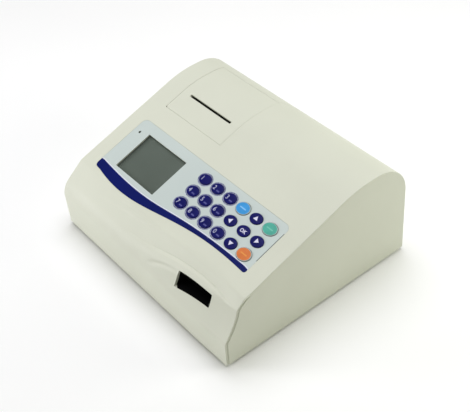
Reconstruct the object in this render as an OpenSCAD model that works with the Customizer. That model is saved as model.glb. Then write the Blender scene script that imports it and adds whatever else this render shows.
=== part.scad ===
// Desktop urine strip analyzer: wedge housing with a slanted keypad panel, a display,
// a built-in receipt printer and a motorised strip tray behind a mouth in the front.
// Millimetres, +Z up, origin on the table under the middle of the housing, front towards -Y.
// Inside the modules, y is counted from the housing's front face and z from its lower edge.

/* [Housing] */
// Width of the housing
case_w = 250; // [246:1:270]
// Depth of the housing
case_d = 212; // [212:1:222]
// Height of the roof above the housing's lower edge
case_h = 107.5; // [107:0.5:110]
// Wall thickness of the housing
wall = 2.5; // [2:0.1:2.8]
// Height where the keypad panel's plane meets the front face
panel_z = 57; // [56:0.5:58]
// Slope of the keypad panel
panel_angle = 18.43; // [18:0.1:19]
// Height where the front slope's plane meets the front face
slope_z = 44.8; // [44:0.2:46]
// Angle of the front slope from the horizontal
slope_angle = 38.9; // [38:0.1:40]
// Height of the rubber feet below the housing
foot_h = 2; // [1:0.5:4]

/* [Keypad] */
// Distance between the key columns
key_dx = 17.9; // [17.6:0.1:18.2]
// Distance between the key rows, along the slope
key_dy = 15.5; // [15:0.1:16]
// Middle of the first key column
key_x0 = 2.5; // [2:0.5:3]
// Middle of the lowest key row, along the slope
key_s0 = 55.8; // [55:0.2:56]
// Width of a digit or arrow key
key_w = 14; // [12:0.2:14.4]
// Depth of a digit or arrow key
key_d = 10.6; // [9.6:0.2:11.4]
// Width of a coloured function key
wide_key_w = 15.8; // [14:0.2:16]
// Depth of a coloured function key
wide_key_d = 12.2; // [10:0.2:12.4]
// How far a key travels when it is pressed
key_travel = 1; // [0.6:0.1:1]
// How far the keys stand above the panel
key_proud = 0.9; // [0.6:0.1:1.2]

/* [Display] */
// Middle of the display window, across
lcd_x = -57.75; // [-60:0.25:-57]
// Middle of the display window, along the slope
lcd_s = 66.6; // [65:0.2:67]
// Width of the display window
lcd_w = 59.5; // [56:0.5:60]
// Height of the display window, along the slope
lcd_h = 43.8; // [40:0.2:44]

/* [Printer] */
// Left edge of the printer cover
cover_left = -101; // [-101.5:0.5:-100]
// Right edge of the printer cover
cover_right = -16; // [-17:0.5:-15.5]
// Front edge of the printer cover, along the slope
cover_s = 121; // [120:0.5:122]
// Width of the paper slot
slot_w = 62; // [58:1:62]
// Middle of the paper slot, along the slope
slot_s = 144.8; // [144:0.2:146]
// Radius of the paper roll
roll_r = 20; // [16:1:20]

/* [Strip tray] */
// Left edge of the mouth in the front face
mouth_left = 52; // [50:0.5:54]
// Right edge of the mouth
mouth_right = 94.5; // [93:0.5:97]
// Lower edge of the mouth at its left end
mouth_low = 39.8; // [38:0.2:41]
// Upper edge of the mouth at its left end
mouth_high = 54.2; // [53:0.2:55]
// How much the lower edge climbs to the right
low_rise = 2.8; // [0:0.2:3]
// How much the upper edge climbs to the right
high_rise = 0.8; // [0:0.2:1]
// How far both edges arch upwards in the middle
mouth_arch = 0.9; // [0:0.1:1]

/* [Hidden] */
lcd_mid = [lcd_x, lcd_s];
pinion_teeth = 16;
tray_module = 0.8;
KEYS = [
    // name, column, row, coloured
    ["key_1", 0, 2, false], ["key_2", 1, 2, false], ["key_3", 2, 2, false],
    ["key_blue", 3, 2, true], ["key_up", 4, 2, false], ["key_green", 5, 2, true],
    ["key_4", 0, 1, false], ["key_5", 1, 1, false], ["key_6", 2, 1, false],
    ["key_left", 3, 1, false], ["key_ok", 4, 1, false], ["key_right", 5, 1, false],
    ["key_7", 0, 0, false], ["key_8", 1, 0, false], ["key_9", 2, 0, false],
    ["key_0", 3, 0, false], ["key_down", 4, 0, false], ["key_orange", 5, 0, true]
];
$fn = 64;

IVORY = "#dcdccf";
NAVY = "#1a2160";
half_w = case_w / 2;
// Fine gaps: between a moving piece and its hole, and between fixed pieces
gap = 0.3;
shaft_gap = 0.05;
// Corner radii of the side profile, front foot to rear foot
slope_r = 22;
brow_r = 20;
roof_r = 105;
rear_r = 36;

// ---- small geometry helpers -------------------------------------------------------------

function cross2(a, b) = a[0] * b[1] - a[1] * b[0];
function unit(v) = v / norm(v);
function right_of(d) = [d[1], -d[0]];
function turned(v, a) = [v[0] * cos(a) - v[1] * sin(a), v[0] * sin(a) + v[1] * cos(a)];
function meet(p, d, q, e) = p + d * cross2(q - p, e) / cross2(d, e);
// Arc of radius r that rounds corner b between a and c, for a clockwise outline
function rounded(a, b, c, r, steps) =
    r <= 0 ? [b] :
    let (din = unit(b - a), dout = unit(c - b), turn = acos(din * dout),
         centre = b - din * r * tan(turn / 2) + right_of(din) * r)
    [for (k = [0 : steps]) centre - turned(right_of(din), -turn * k / steps) * r];

// Side profile of the housing, shrunk by t all round and open below when floor_z is negative
panel_meets_slope = meet([0, slope_z], [cos(slope_angle), sin(slope_angle)],
                         [0, panel_z], [cos(panel_angle), sin(panel_angle)]);
roof_y = (case_h - panel_z) / tan(panel_angle);
CORNERS = [[0, 0], [0, slope_z], panel_meets_slope, [roof_y, case_h], [case_d, case_h], [case_d, 0]];
CORNER_R = [0, slope_r, brow_r, roof_r, rear_r, 0];
CORNER_STEPS = [1, 10, 4, 5, 14, 1];
function edge_dir(i) = unit(CORNERS[(i + 1) % 6] - CORNERS[i]);
function inset_point(i, t, floor_z) = CORNERS[i] + right_of(edge_dir(i)) * (i == 5 ? floor_z : t);
function inset_corner(i, t, floor_z) =
    let (j = (i + 5) % 6)
    meet(inset_point(j, t, floor_z), edge_dir(j), inset_point(i, t, floor_z), edge_dir(i));
function profile(t = 0, floor_z = 0) =
    let (c = [for (i = [0 : 5]) inset_corner(i, t, floor_z)])
    [for (i = [0 : 5]) each rounded(c[(i + 5) % 6], c[i], c[(i + 1) % 6],
                                    CORNER_R[i] > 0 ? CORNER_R[i] - t : 0, CORNER_STEPS[i])];

// Involute gear outline with thinned teeth; tooth 0 points along +X
gear_backlash = 0.16;
pressure = 20;
function inv(a) = tan(a) * 180 / PI - a;
function polar(r, a) = [r * cos(a), r * sin(a)];
function gear_outline(teeth, m) =
    let (rp = m * teeth / 2, rb = rp * cos(pressure), ra = rp + 0.9 * m, rr = rp - 1.2 * m,
         thin = gear_backlash / 2 / rp * 180 / PI, r0 = max(rr, rb), steps = 4,
         radii = [for (k = [0 : steps]) r0 + (ra - r0) * k / steps],
         half = [for (r = radii) 90 / teeth - thin + inv(pressure) - inv(acos(rb / r))])
    [for (t = [0 : teeth - 1]) let (c = 360 * t / teeth) each concat(
        [polar(rr, c - half[0])],
        [for (k = [0 : steps]) polar(radii[k], c - half[k])],
        [for (k = [steps : -1 : 0]) polar(radii[k], c + half[k])],
        [polar(rr, c + half[0])])];

// Places in the housing: y from the front face, z from the lower edge
module in_case() { translate([0, -case_d / 2, foot_h]) children(); }
// Places on the keypad panel: x across, y up the slope, z out of the panel
module on_panel() { in_case() translate([0, 0, panel_z]) rotate([panel_angle, 0, 0]) children(); }
// A shape drawn in (y, z), extruded along X from x0
module along_x(x0, length) {
    translate([x0, 0, 0]) rotate([90, 0, 90]) linear_extrude(length) children();
}
// A round bar along X
module x_bar(x0, length, y, z, r) {
    along_x(x0, length) translate([y, z]) circle(r);
}
// A box given by its lowest and highest corners
module span(a, b) { translate(a) cube(b - a); }
module post(x, y, z0, z1, r) { translate([x, y, z0]) cylinder(h = z1 - z0, r = r); }
function ellipse(w, d) = [for (a = [0 : 10 : 350]) [w / 2 * cos(a), d / 2 * sin(a)]];

// ---- housing ----------------------------------------------------------------------------

// The recessed band around the mouth: a steep face that swings back to the right,
// under a curved brow. It is grown by t to leave a wall behind it.
band_z = 27;
band_pivot_x = 110;
band_yaw = 5;
band_back = 3;
band_lean = 0.5;
band_left = 4;
band_right = 130;
function brow_z(x) =
    let (u = (x - band_left) / (band_right - band_left))
    band_z + 33 * sqrt(1 - pow(1 - u, 4));
module recessed_band(t) {
    back = band_back + t * sqrt(1 + band_lean * band_lean);
    top_z = 72;
    intersection() {
        translate([band_pivot_x, 0, 0]) rotate([0, 0, band_yaw])
            along_x(-150, 200)
                polygon([[-20, band_z - t], [back, band_z - t],
                         [back + (top_z - band_z) * band_lean, top_z], [-20, top_z]]);
        translate([0, 60, t / 2]) rotate([90, 0, 0]) linear_extrude(90)
            polygon(concat([[band_left - t, band_z - 2 * t]],
                           [for (x = [band_left : 7 : band_right]) [x - t, brow_z(x)]],
                           [[band_right, band_z - 2 * t]]));
    }
}

// The mouth, seen from the front: its edges climb to the right and arch a little
module mouth_outline() {
    function edge(z, rise, u) = [mouth_left + (mouth_right - mouth_left) * u,
                                 z + rise * u + mouth_arch * 4 * u * (1 - u)];
    polygon(concat([for (u = [0 : 0.125 : 1]) edge(mouth_low, low_rise, u)],
                   [for (u = [1 : -0.125 : 0]) edge(mouth_high, high_rise, u)]));
}

// Screw bosses that join the housing to the base, each with a rib to the side wall
boss_x = 105;
BOSS_Y = [20, 192];
boss_r = 4.5;
boss_top = 40;
rib_half = 1.2;
base_t = 2.5;
screw_r = 1.5;
module case_boss(side, y) {
    post(side * boss_x, y, base_t + gap, boss_top, boss_r);
    wall_x = half_w - wall + 0.5;
    x0 = side > 0 ? boss_x : -wall_x;
    x1 = side > 0 ? wall_x : -boss_x;
    span([x0, y - rib_half, base_t + gap], [x1, y + rib_half, boss_top]);
}

// Screw posts under the panel for the display board and the keypad board
LCD_POSTS = [for (i = [-1, 1], j = [-1, 1]) lcd_mid + [36 * i, 32 * j]];
PAD_POSTS = [for (x = [-12.5, 104.5], s = [50, 93]) [x, s]];
lcd_board_n = -7.8;
pad_board_n = -6.2;
board_t = 1.6;
small_screw_r = 1;
small_boss_r = 2.5;
module panel_posts(points, n) {
    for (p = points) translate([p[0], p[1], n])
        difference() {
            cylinder(h = -n - wall / 2, r = small_boss_r);
            translate([0, 0, -1]) cylinder(h = 5, r = small_screw_r + shaft_gap);
        }
}

// Printed overlay: rounded above, its lower edge a long wave that ends in a rounded tip
overlay_left = -107;
overlay_right = 106;
overlay_top = 99.3;
overlay_shoulder = 41.3;
overlay_corner = 6;
wave_corner = 4;
wave_tip_r = 2.6;
overlay_t = 0.3;
overlay_sunk = 0.05;
overlay_gap = 0.15;
WAVE = [[-105, 33.3], [-25, 15.3], [0.2, 50.2], [103.4, 43.5]];
function bezier(p, t) =
    p[0] * pow(1 - t, 3) + p[1] * 3 * t * pow(1 - t, 2) + p[2] * 3 * t * t * (1 - t) + p[3] * pow(t, 3);
module overlay_shape(grow = 0) {
    a = [overlay_left - grow, overlay_shoulder];
    b = [overlay_left - grow, overlay_top + grow];
    c = [overlay_right + grow, overlay_top + grow];
    d = [overlay_right + grow, WAVE[3][1] - grow];
    low = [for (k = [0 : 20]) bezier(WAVE, 1 - k / 20) - [0, grow]];
    polygon(concat([a],
                   rounded(a, b, c, overlay_corner + grow, 6),
                   rounded(b, c, d, overlay_corner + grow, 6),
                   rounded(c, d, low[1], wave_tip_r - grow, 5),
                   [for (k = [1 : 19]) low[k]],
                   rounded(low[19], low[20], a, wave_corner, 5)));
}
function key_place(k) = [key_x0 + key_dx * k[1], key_s0 + key_dy * k[2]];
function key_form(k) = k[3] ? [wide_key_w, wide_key_d] : [key_w, key_d];
module key_holes(n0, n1) {
    for (k = KEYS) translate([key_place(k)[0], key_place(k)[1], n0])
        linear_extrude(n1 - n0) polygon(ellipse(key_form(k)[0] + 2 * gap, key_form(k)[1] + 2 * gap));
}
led_place = [-99, 84.6];
led_r = 0.9;
module panel_openings(n0, n1) {
    key_holes(n0, n1);
    translate([lcd_x - lcd_w / 2, lcd_s - lcd_h / 2, n0]) cube([lcd_w, lcd_h, n1 - n0]);
    translate([led_place[0], led_place[1], n0]) cylinder(h = n1 - n0, r = led_r + shaft_gap);
}

// Hinge axis of the printer cover. The cover ends in a round heel about it, trimmed by the roof.
hinge_depth = 4;
heel_r = 5.2;
hinge_tilt = 12.84;
hinge_y = case_d - rear_r + (rear_r - hinge_depth) * sin(hinge_tilt);
hinge_z = case_h - rear_r + (rear_r - hinge_depth) * cos(hinge_tilt);
pin_r = 1.5;
// Outline, in (y, z), of the roof that the cover takes up, its front edge moved out by clear
module cover_region(clear) {
    front = [cover_s * cos(panel_angle), panel_z + cover_s * sin(panel_angle)];
    out = [-sin(panel_angle), cos(panel_angle)];
    along = [cos(panel_angle), sin(panel_angle)];
    polygon([front + out * 12 - along * clear, [hinge_y, case_h + 6], [hinge_y, hinge_z - 2],
             front - out * 8 - along * clear]);
}
module cover_opening() {
    along_x(cover_left - gap, cover_right - cover_left + 2 * gap) union() {
        cover_region(gap);
        translate([hinge_y, hinge_z]) circle(heel_r + gap);
    }
}

// Rear connectors: middle x, middle z
jack_mid = [-82, 17];
jack_r = 4.7;
serial_mid = [-35, 18.5];
rocker_mid = [90, 25];
rocker_cut = [21.5, 15.5];
serial_cut = [34, 14];

// Clear display window, set in a rebate behind the panel
lens_w = 64.4;
lens_h = 48.4;
lens_t = 1;
rebate_gap = 0.2;

module upper_case() color(IVORY) difference() {
    union() {
        difference() {
            in_case() along_x(-half_w, case_w) polygon(profile());
            difference() {
                in_case() along_x(wall - half_w, case_w - 2 * wall) polygon(profile(wall, -1));
                in_case() recessed_band(wall);
            }
        }
        in_case() for (side = [-1, 1], y = BOSS_Y) case_boss(side, y);
        on_panel() panel_posts(LCD_POSTS, lcd_board_n);
        on_panel() panel_posts(PAD_POSTS, pad_board_n);
    }
    in_case() {
        recessed_band(0);
        translate([0, 30, 0]) rotate([90, 0, 0]) linear_extrude(40) mouth_outline();
        cover_opening();
        for (side = [-1, 1], y = BOSS_Y) post(side * boss_x, y, 0, 16, screw_r + shaft_gap);
        translate([jack_mid[0], case_d - 5, jack_mid[1]]) rotate([-90, 0, 0])
            cylinder(h = 10, r = jack_r + gap);
        span([serial_mid[0] - serial_cut[0] / 2, case_d - 8, serial_mid[1] - serial_cut[1] / 2],
             [serial_mid[0] + serial_cut[0] / 2, case_d + 1, serial_mid[1] + serial_cut[1] / 2]);
        span([rocker_mid[0] - rocker_cut[0] / 2, case_d - 8, rocker_mid[1] - rocker_cut[1] / 2],
             [rocker_mid[0] + rocker_cut[0] / 2, case_d + 1, rocker_mid[1] + rocker_cut[1] / 2]);
    }
    on_panel() {
        translate([0, 0, -overlay_t - overlay_sunk]) linear_extrude(2) overlay_shape(overlay_gap);
        panel_openings(-wall * 2, 1);
        translate([lcd_mid[0], lcd_mid[1], -wall - 1])
            span(-[lens_w, lens_h, 0] / 2 - [rebate_gap, rebate_gap, 0],
                 [lens_w, lens_h, 0] / 2 + [rebate_gap, rebate_gap, 1 + lens_t]);
    }
}

STANDOFFS = [[-89, 34], [20, 34], [20, 197], [-60, 197]];
board_z = 9;
head_z = [0.1, 1.3];
head_r = 2.8;
module base_plate() color(IVORY) in_case() difference() {
    union() {
        span([gap + wall - half_w, wall + gap, 0], [half_w - wall - gap, case_d - wall - gap, base_t]);
        for (p = STANDOFFS) post(p[0], p[1], 1, board_z, 3);
    }
    for (side = [-1, 1], y = BOSS_Y) {
        post(side * boss_x, y, -1, base_t + 1, screw_r + 0.2);
        post(side * boss_x, y, -1, head_z[1], head_r + gap);
    }
    for (p = STANDOFFS) post(p[0], p[1], 2, board_z + 1, small_screw_r + shaft_gap);
}
foot_r = 7;
foot_inset = [20, 36];
module rubber_feet() color("#3a3a3a") in_case()
    for (side = [-1, 1], y = [foot_inset[1], case_d - foot_inset[1]])
        translate([side * (half_w - foot_inset[0]), y, -foot_h]) cylinder(h = foot_h, r = foot_r);
module case_screws() color("silver") in_case()
    for (side = [-1, 1], y = BOSS_Y) union() {
        difference() {
            post(side * boss_x, y, head_z[0], head_z[1], head_r);
            span([side * boss_x - 2, y - 0.4, 0], [side * boss_x + 2, y + 0.4, 0.7]);
            span([side * boss_x - 0.4, y - 2, 0], [side * boss_x + 0.4, y + 2, 0.7]);
        }
        post(side * boss_x, y, head_z[1], 12, screw_r);
    }

// ---- panel: overlay, display, lamp and keys ---------------------------------------------

module panel_overlay() color("#c8d0d4") on_panel() difference() {
    translate([0, 0, -overlay_t - overlay_sunk]) linear_extrude(overlay_t) overlay_shape();
    panel_openings(-1, 1);
}
module lcd_window() color("#9aa69a", 0.5) on_panel()
    translate([lcd_mid[0] - lens_w / 2, lcd_mid[1] - lens_h / 2, -wall]) cube([lens_w, lens_h, lens_t]);
module lcd_module() color("#5d6a5e") on_panel() translate([lcd_mid[0], lcd_mid[1], 0]) difference() {
    union() {
        span([-35, -24, lcd_board_n], [35, 24, -2.8]);
        span([-39, -35, lcd_board_n - board_t], [39, 35, lcd_board_n]);
        span([-33, -20, lcd_board_n - board_t - 3], [33, 20, lcd_board_n - board_t]);
    }
    span([-30.5, -22.5, -3.6], [30.5, 22.5, -2]);
    for (p = LCD_POSTS) post(p[0] - lcd_mid[0], p[1] - lcd_mid[1], -12, 0, small_screw_r + 0.2);
}
module status_led() color("#3c4a50") on_panel() translate([led_place[0], led_place[1], 0]) {
    translate([0, 0, -6]) cylinder(h = 5.9, r = led_r);
    translate([0, 0, -6]) cylinder(h = 3.4, r = 1.6);
}

pill_r = 2.5;
flange_n = -wall - 0.1;
module key_cap(k, colour) {
    form = key_form(k);
    color(colour) on_panel() translate([key_place(k)[0], key_place(k)[1], 0]) {
        translate([0, 0, flange_n - 0.5]) linear_extrude(key_proud - flange_n + 0.5)
            polygon(ellipse(form[0], form[1]));
        translate([0, 0, flange_n - 1.3]) linear_extrude(1.3) polygon(ellipse(form[0] + 1.6, form[1] + 1.6));
        translate([0, 0, pad_board_n + key_travel + 0.1])
            cylinder(h = flange_n - 1 - pad_board_n - key_travel - 0.1, r = pill_r);
    }
}
module key_1() key_cap(KEYS[0], NAVY);
module key_2() key_cap(KEYS[1], NAVY);
module key_3() key_cap(KEYS[2], NAVY);
module key_blue() key_cap(KEYS[3], "#4aa3e0");
module key_up() key_cap(KEYS[4], NAVY);
module key_green() key_cap(KEYS[5], "#46ad94");
module key_4() key_cap(KEYS[6], NAVY);
module key_5() key_cap(KEYS[7], NAVY);
module key_6() key_cap(KEYS[8], NAVY);
module key_left() key_cap(KEYS[9], NAVY);
module key_ok() key_cap(KEYS[10], NAVY);
module key_right() key_cap(KEYS[11], NAVY);
module key_7() key_cap(KEYS[12], NAVY);
module key_8() key_cap(KEYS[13], NAVY);
module key_9() key_cap(KEYS[14], NAVY);
module key_0() key_cap(KEYS[15], NAVY);
module key_down() key_cap(KEYS[16], NAVY);
module key_orange() key_cap(KEYS[17], "#e6763c");

mat_t = 0.8;
module keypad_mat() color("#6f7470") on_panel() difference() {
    span([-9, 47, pad_board_n], [101, 97, pad_board_n + mat_t]);
    for (k = KEYS) translate([key_place(k)[0], key_place(k)[1], pad_board_n - 1]) cylinder(h = 4, r = 5.5);
}
module keypad_board() color("#1d5a37") on_panel() difference() {
    span([-17, 45.5, pad_board_n - board_t], [108, 98, pad_board_n]);
    for (p = PAD_POSTS) post(p[0], p[1], pad_board_n - 4, pad_board_n + 1, small_screw_r + 0.2);
}

// ---- boards -----------------------------------------------------------------------------

bay_post_x = [-99, -17];
bay_post_y = [122, 184];
module main_board() color("#1d5a37") in_case() {
    difference() {
        span([-94, 28, board_z], [25, 203, board_z + board_t]);
        for (y = bay_post_y) post(bay_post_x[1], y, board_z - 1, board_z + 3, 5);
        for (p = STANDOFFS) post(p[0], p[1], board_z - 1, board_z + 3, small_screw_r + 0.2);
    }
    // Processor, memory, driver chips, capacitors and the sounder
    top = board_z + board_t;
    for (c = [[-40, 70, 20, 20, 2], [-5, 66, 14, 9, 2], [-70, 66, 12, 9, 2], [-60, 150, 16, 10, 2]])
        span([c[0] - c[2] / 2, c[1] - c[3] / 2, top], [c[0] + c[2] / 2, c[1] + c[3] / 2, top + c[4]]);
    for (c = [[-80, 172, 5, 14], [-66, 174, 4, 11], [2, 178, 4, 11], [0, 110, 6, 9]])
        post(c[0], c[1], top, top + c[3], c[2]);
}
module small_screw() {
    cylinder(h = 1.6, r = 2.1);
    translate([0, 0, -5]) cylinder(h = 5, r = small_screw_r);
}
module board_screws() color("silver") {
    in_case() for (p = STANDOFFS) translate([p[0], p[1], board_z + board_t]) small_screw();
    on_panel() for (p = LCD_POSTS)
        translate([p[0], p[1], lcd_board_n - board_t]) rotate([180, 0, 0]) small_screw();
    on_panel() for (p = PAD_POSTS)
        translate([p[0], p[1], pad_board_n - board_t]) rotate([180, 0, 0]) small_screw();
}

// ---- printer ----------------------------------------------------------------------------

cover_t = 2.4;
slot_d = 2;
notch_r = 1.3;
module printer_cover() color(IVORY) in_case() difference() {
    union() {
        along_x(cover_left, cover_right - cover_left) intersection() {
            difference() {
                polygon(profile());
                polygon(profile(cover_t));
            }
            cover_region(0);
        }
        along_x(cover_left, cover_right - cover_left) intersection() {
            translate([hinge_y, hinge_z]) circle(heel_r);
            polygon(profile());
        }
    }
    x_bar(cover_left - 1, cover_right - cover_left + 2, hinge_y, hinge_z, pin_r + shaft_gap);
    translate([0, 0, panel_z]) rotate([panel_angle, 0, 0]) {
        slot_x = (cover_left + cover_right - slot_w) / 2;
        translate([slot_x, slot_s - slot_d / 2, -8]) cube([slot_w, slot_d, 12]);
        // Finger notch in the front left corner
        translate([cover_left, cover_s, -8]) rotate(225) cylinder(h = 12, r = notch_r);
    }
}
bay_left = -104.2;
bay_right = -12.8;
cheek_t = 2.2;
module cover_hinge_pin() color("silver") in_case()
    x_bar(bay_left, bay_right - bay_left, hinge_y, hinge_z, pin_r);

roll_y = 168;
roll_z = 75;
spindle_r = 3;
// Outline of a slot of half width r, round below and open above
function open_slot(r, height) =
    concat([for (a = [180 : 10 : 360]) polar(r, a)], [[r, height], [-r, height]]);
module bay_cheek(x0) {
    along_x(x0, cheek_t) difference() {
        intersection() {
            polygon(profile(wall + 0.7));
            translate([117, 50]) square([76, 60]);
        }
        translate([roll_y, roll_z]) polygon(open_slot(spindle_r + shaft_gap + 0.03, 60));
        translate([hinge_y, hinge_z]) circle(pin_r + shaft_gap);
    }
}
bay_floor = [50, 52];
module paper_bay() color("#c9c9bd") in_case() {
    bay_cheek(bay_left);
    bay_cheek(bay_right - cheek_t);
    span([bay_left, 117, bay_floor[0]], [bay_right, 193, bay_floor[1]]);
    span([bay_left, 191, bay_floor[0]], [bay_right, 193, 97]);
    // Rail under the cover's front edge
    translate([0, 0, panel_z]) rotate([panel_angle, 0, 0])
        span([bay_left + 1, 119, -4.8], [bay_right - 1, 122.5, -cover_t - 0.4]);
    for (x = bay_post_x, y = bay_post_y) post(x, y, base_t, bay_floor[0] + 1, 4);
}
roll_x = [-87, -30];
core_r = [6, 8];
module tube_x(x0, x1, r0, r1) {
    along_x(x0, x1 - x0) translate([roll_y, roll_z]) difference() {
        circle(r1);
        circle(r0);
    }
}
module paper_roll() color("white") in_case() tube_x(roll_x[0], roll_x[1], core_r[1], roll_r);
module roll_core() color("#b08a5a") in_case() tube_x(roll_x[0] - 0.5, roll_x[1] + 0.5, core_r[0], core_r[1]);
module roll_spindle() color("#4a4c4e") in_case() {
    x_bar(bay_left, bay_right - bay_left, roll_y, roll_z, spindle_r);
    x_bar(roll_x[0] - 3, roll_x[1] - roll_x[0] + 6, roll_y, roll_z, core_r[0] - shaft_gap);
}

// Printer gear train: platen gear over idler over motor pinion, their axes on one tilted line
printer_module = 0.5;
train_angle = -115;
platen_teeth = 24;
idler_teeth = 40;
motor_teeth = 12;
PLATEN_AXIS = [143.4, 90];
IDLER_AXIS = PLATEN_AXIS + polar(printer_module * (platen_teeth + idler_teeth) / 2, train_angle);
MOTOR_AXIS = IDLER_AXIS + polar(printer_module * (idler_teeth + motor_teeth) / 2, train_angle);
platen_r = 6;
platen_shaft_r = 2;
stud_r = 1.5;
motor_shaft_r = 1;
frame_x = [-96, -20];
frame_t = 2;
gear_x = frame_x[1] + 0.5;
gear_t = 3;
beam_z = [74, 76];
module x_bar_at(x0, length, axis, r) { x_bar(x0, length, axis[0], axis[1], r); }
module train_gear(teeth, axis, turn, bore_r) {
    along_x(gear_x, gear_t) translate(axis) difference() {
        rotate(turn) polygon(gear_outline(teeth, printer_module));
        if (bore_r > 0) circle(bore_r);
    }
}
module printer_frame() color("#8d9294") in_case() {
    for (x = [frame_x[0], frame_x[1] - frame_t]) along_x(x, frame_t) difference() {
        intersection() {
            polygon(profile(wall + 0.7));
            translate([120.5, bay_floor[1]]) square([31, 60]);
        }
        translate(PLATEN_AXIS) circle(platen_shaft_r + shaft_gap);
        translate(MOTOR_AXIS) circle(motor_shaft_r + gap);
    }
    span([frame_x[0], 122, beam_z[0]], [frame_x[1], 138, beam_z[1]]);
    x_bar_at(frame_x[1] - 1, gear_t + 2.1, IDLER_AXIS, stud_r);
}
nip_y = PLATEN_AXIS[0] - platen_r;
module print_head() color("#70757a") in_case() {
    span([-90, nip_y - 2.5, beam_z[1]], [-26, nip_y - 0.5, 97]);
    span([-88, nip_y - 0.6, PLATEN_AXIS[1] - 2], [-28, nip_y - 0.1, PLATEN_AXIS[1] + 2]);
}
module platen_roller() color("#2b2b2b") in_case()
    along_x(-89, 62) translate(PLATEN_AXIS) difference() {
        circle(platen_r);
        circle(platen_shaft_r);
    }
module platen_shaft() color("silver") in_case()
    x_bar_at(frame_x[0] - 1, gear_x + gear_t - frame_x[0] + 1.5, PLATEN_AXIS, platen_shaft_r);
module platen_gear() color("#e8e6da") in_case()
    train_gear(platen_teeth, PLATEN_AXIS, train_angle, platen_shaft_r);
module idler_gear() color("#e8e6da") in_case()
    train_gear(idler_teeth, IDLER_AXIS, train_angle + 180 + 180 / idler_teeth, stud_r + shaft_gap);
module printer_pinion() color("#b8954a") in_case() {
    train_gear(motor_teeth, MOTOR_AXIS, train_angle + 180, 0);
    x_bar_at(gear_x - 7, gear_t + 7.5, MOTOR_AXIS, motor_shaft_r);
}
module printer_motor() color("#a9adb0") in_case() difference() {
    union() {
        x_bar_at(-50, frame_x[1] - frame_t + 50, MOTOR_AXIS, 8.5);
        x_bar_at(-52, 3, MOTOR_AXIS, 3);
    }
    x_bar_at(gear_x - 7.2, 12, MOTOR_AXIS, motor_shaft_r + shaft_gap);
}

// ---- strip tray and reader --------------------------------------------------------------

tray_x = [57.5, 91.5];
tray_y = [20, 158];
tray_z = [43.4, 46.4];
tray_rim = 50;
rack_pitch_x = 55.1;
rack_z = [43.9, 47.5];
tooth_pitch = PI * tray_module;
pinion_r = tray_module * pinion_teeth / 2;
pinion_y = 80;
pinion_x = rack_pitch_x - pinion_r;
module strip_tray() color("#2e3032") in_case() {
    span([tray_x[0], tray_y[0], tray_z[0]], [tray_x[1], tray_y[1], tray_z[1]]);
    span([tray_x[0], tray_y[0], tray_z[0]], [tray_x[0] + 1.6, tray_y[1], tray_rim]);
    span([tray_x[1] - 1.6, tray_y[0], tray_z[0]], [tray_x[1], tray_y[1], tray_rim]);
    span([tray_x[0], tray_y[0], tray_z[0]], [tray_x[1], tray_y[0] + 1.8, 48.4]);
    // Flag that enters the position sensor when the tray is in
    span([84.2, tray_y[1] - 1, 44.2], [85.8, 166, 48]);
}
rack_y = [72, 156];
rack_root = 1.2 * tray_module;
rack_tip = 0.9 * tray_module;
// Outline of the rack: a straight back, and teeth towards -X with a gap opposite the pinion
function rack_outline() =
    let (half = tooth_pitch / 4 - gear_backlash / 2,
         first = ceil((rack_y[0] + 2 - pinion_y) / tooth_pitch) + 0.5,
         last = floor((rack_y[1] - 2 - pinion_y) / tooth_pitch) - 0.5,
         root_x = rack_pitch_x + rack_root,
         tip_x = rack_pitch_x - rack_tip,
         root_half = half + rack_root * tan(pressure),
         tip_half = half - rack_tip * tan(pressure))
    concat([[tray_x[0], rack_y[1]], [tray_x[0], rack_y[0]], [root_x, rack_y[0]]],
           [for (k = [first : 1 : last]) let (y = pinion_y + k * tooth_pitch)
               each [[root_x, y - root_half], [tip_x, y - tip_half],
                     [tip_x, y + tip_half], [root_x, y + root_half]]],
           [[root_x, rack_y[1]]]);
module tray_rack() color("#e8e6da") in_case()
    translate([0, 0, rack_z[0]]) linear_extrude(rack_z[1] - rack_z[0]) polygon(rack_outline());
strip_mid_x = (tray_x[0] + tray_x[1]) / 2;
module strip_holder() color("#e9e9e4") in_case() difference() {
    span([strip_mid_x - 11, 24, tray_z[1]], [strip_mid_x + 11, 108, 48.4]);
    span([strip_mid_x - 2.6, 22, 47.2], [strip_mid_x + 2.6, 104, 50]);
    for (y = [40, 88]) span([strip_mid_x - 6, y, 47.2], [strip_mid_x + 6, y + 6, 50]);
}
module white_reference() color("white") in_case()
    span([strip_mid_x - 6, 110, tray_z[1]], [strip_mid_x + 6, 118, tray_z[1] + 0.9]);

guide_z = [41, 43];
guide_y = [18, 176];
rail_top = 51;
module tray_guide() color("#2e3032") in_case() {
    difference() {
        union() {
            span([50, guide_y[0], guide_z[0]], [99, guide_y[1], guide_z[1]]);
            span([34, pinion_y - 15, guide_z[0]], [60, pinion_y + 15, guide_z[1]]);
            span([52.1, guide_y[0], guide_z[0]], [53.9, guide_y[1], rail_top]);
        }
        span([51, pinion_y - 9.5, guide_z[1]], [55, pinion_y + 9.5, rail_top + 1]);
        post(pinion_x, pinion_y, 40, 44, motor_collar_r + gap);
    }
    span([tray_x[1] + 0.4, guide_y[0], guide_z[0]], [tray_x[1] + 2.2, guide_y[1], rail_top]);
    for (x = [95.5, 54], y = [24, 168]) post(x, y, base_t, guide_z[0] + 1, 3.4);
}
motor_collar_r = 4;
drive_shaft_r = 1.5;
module drive_pinion() color("#b8954a") in_case() translate([pinion_x, pinion_y, 0]) {
    translate([0, 0, rack_z[0] - 0.2]) linear_extrude(rack_z[1] - rack_z[0] + 0.4)
        polygon(gear_outline(pinion_teeth, tray_module));
    translate([0, 0, 36]) cylinder(h = rack_z[1] - 35.4, r = drive_shaft_r);
}
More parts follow.
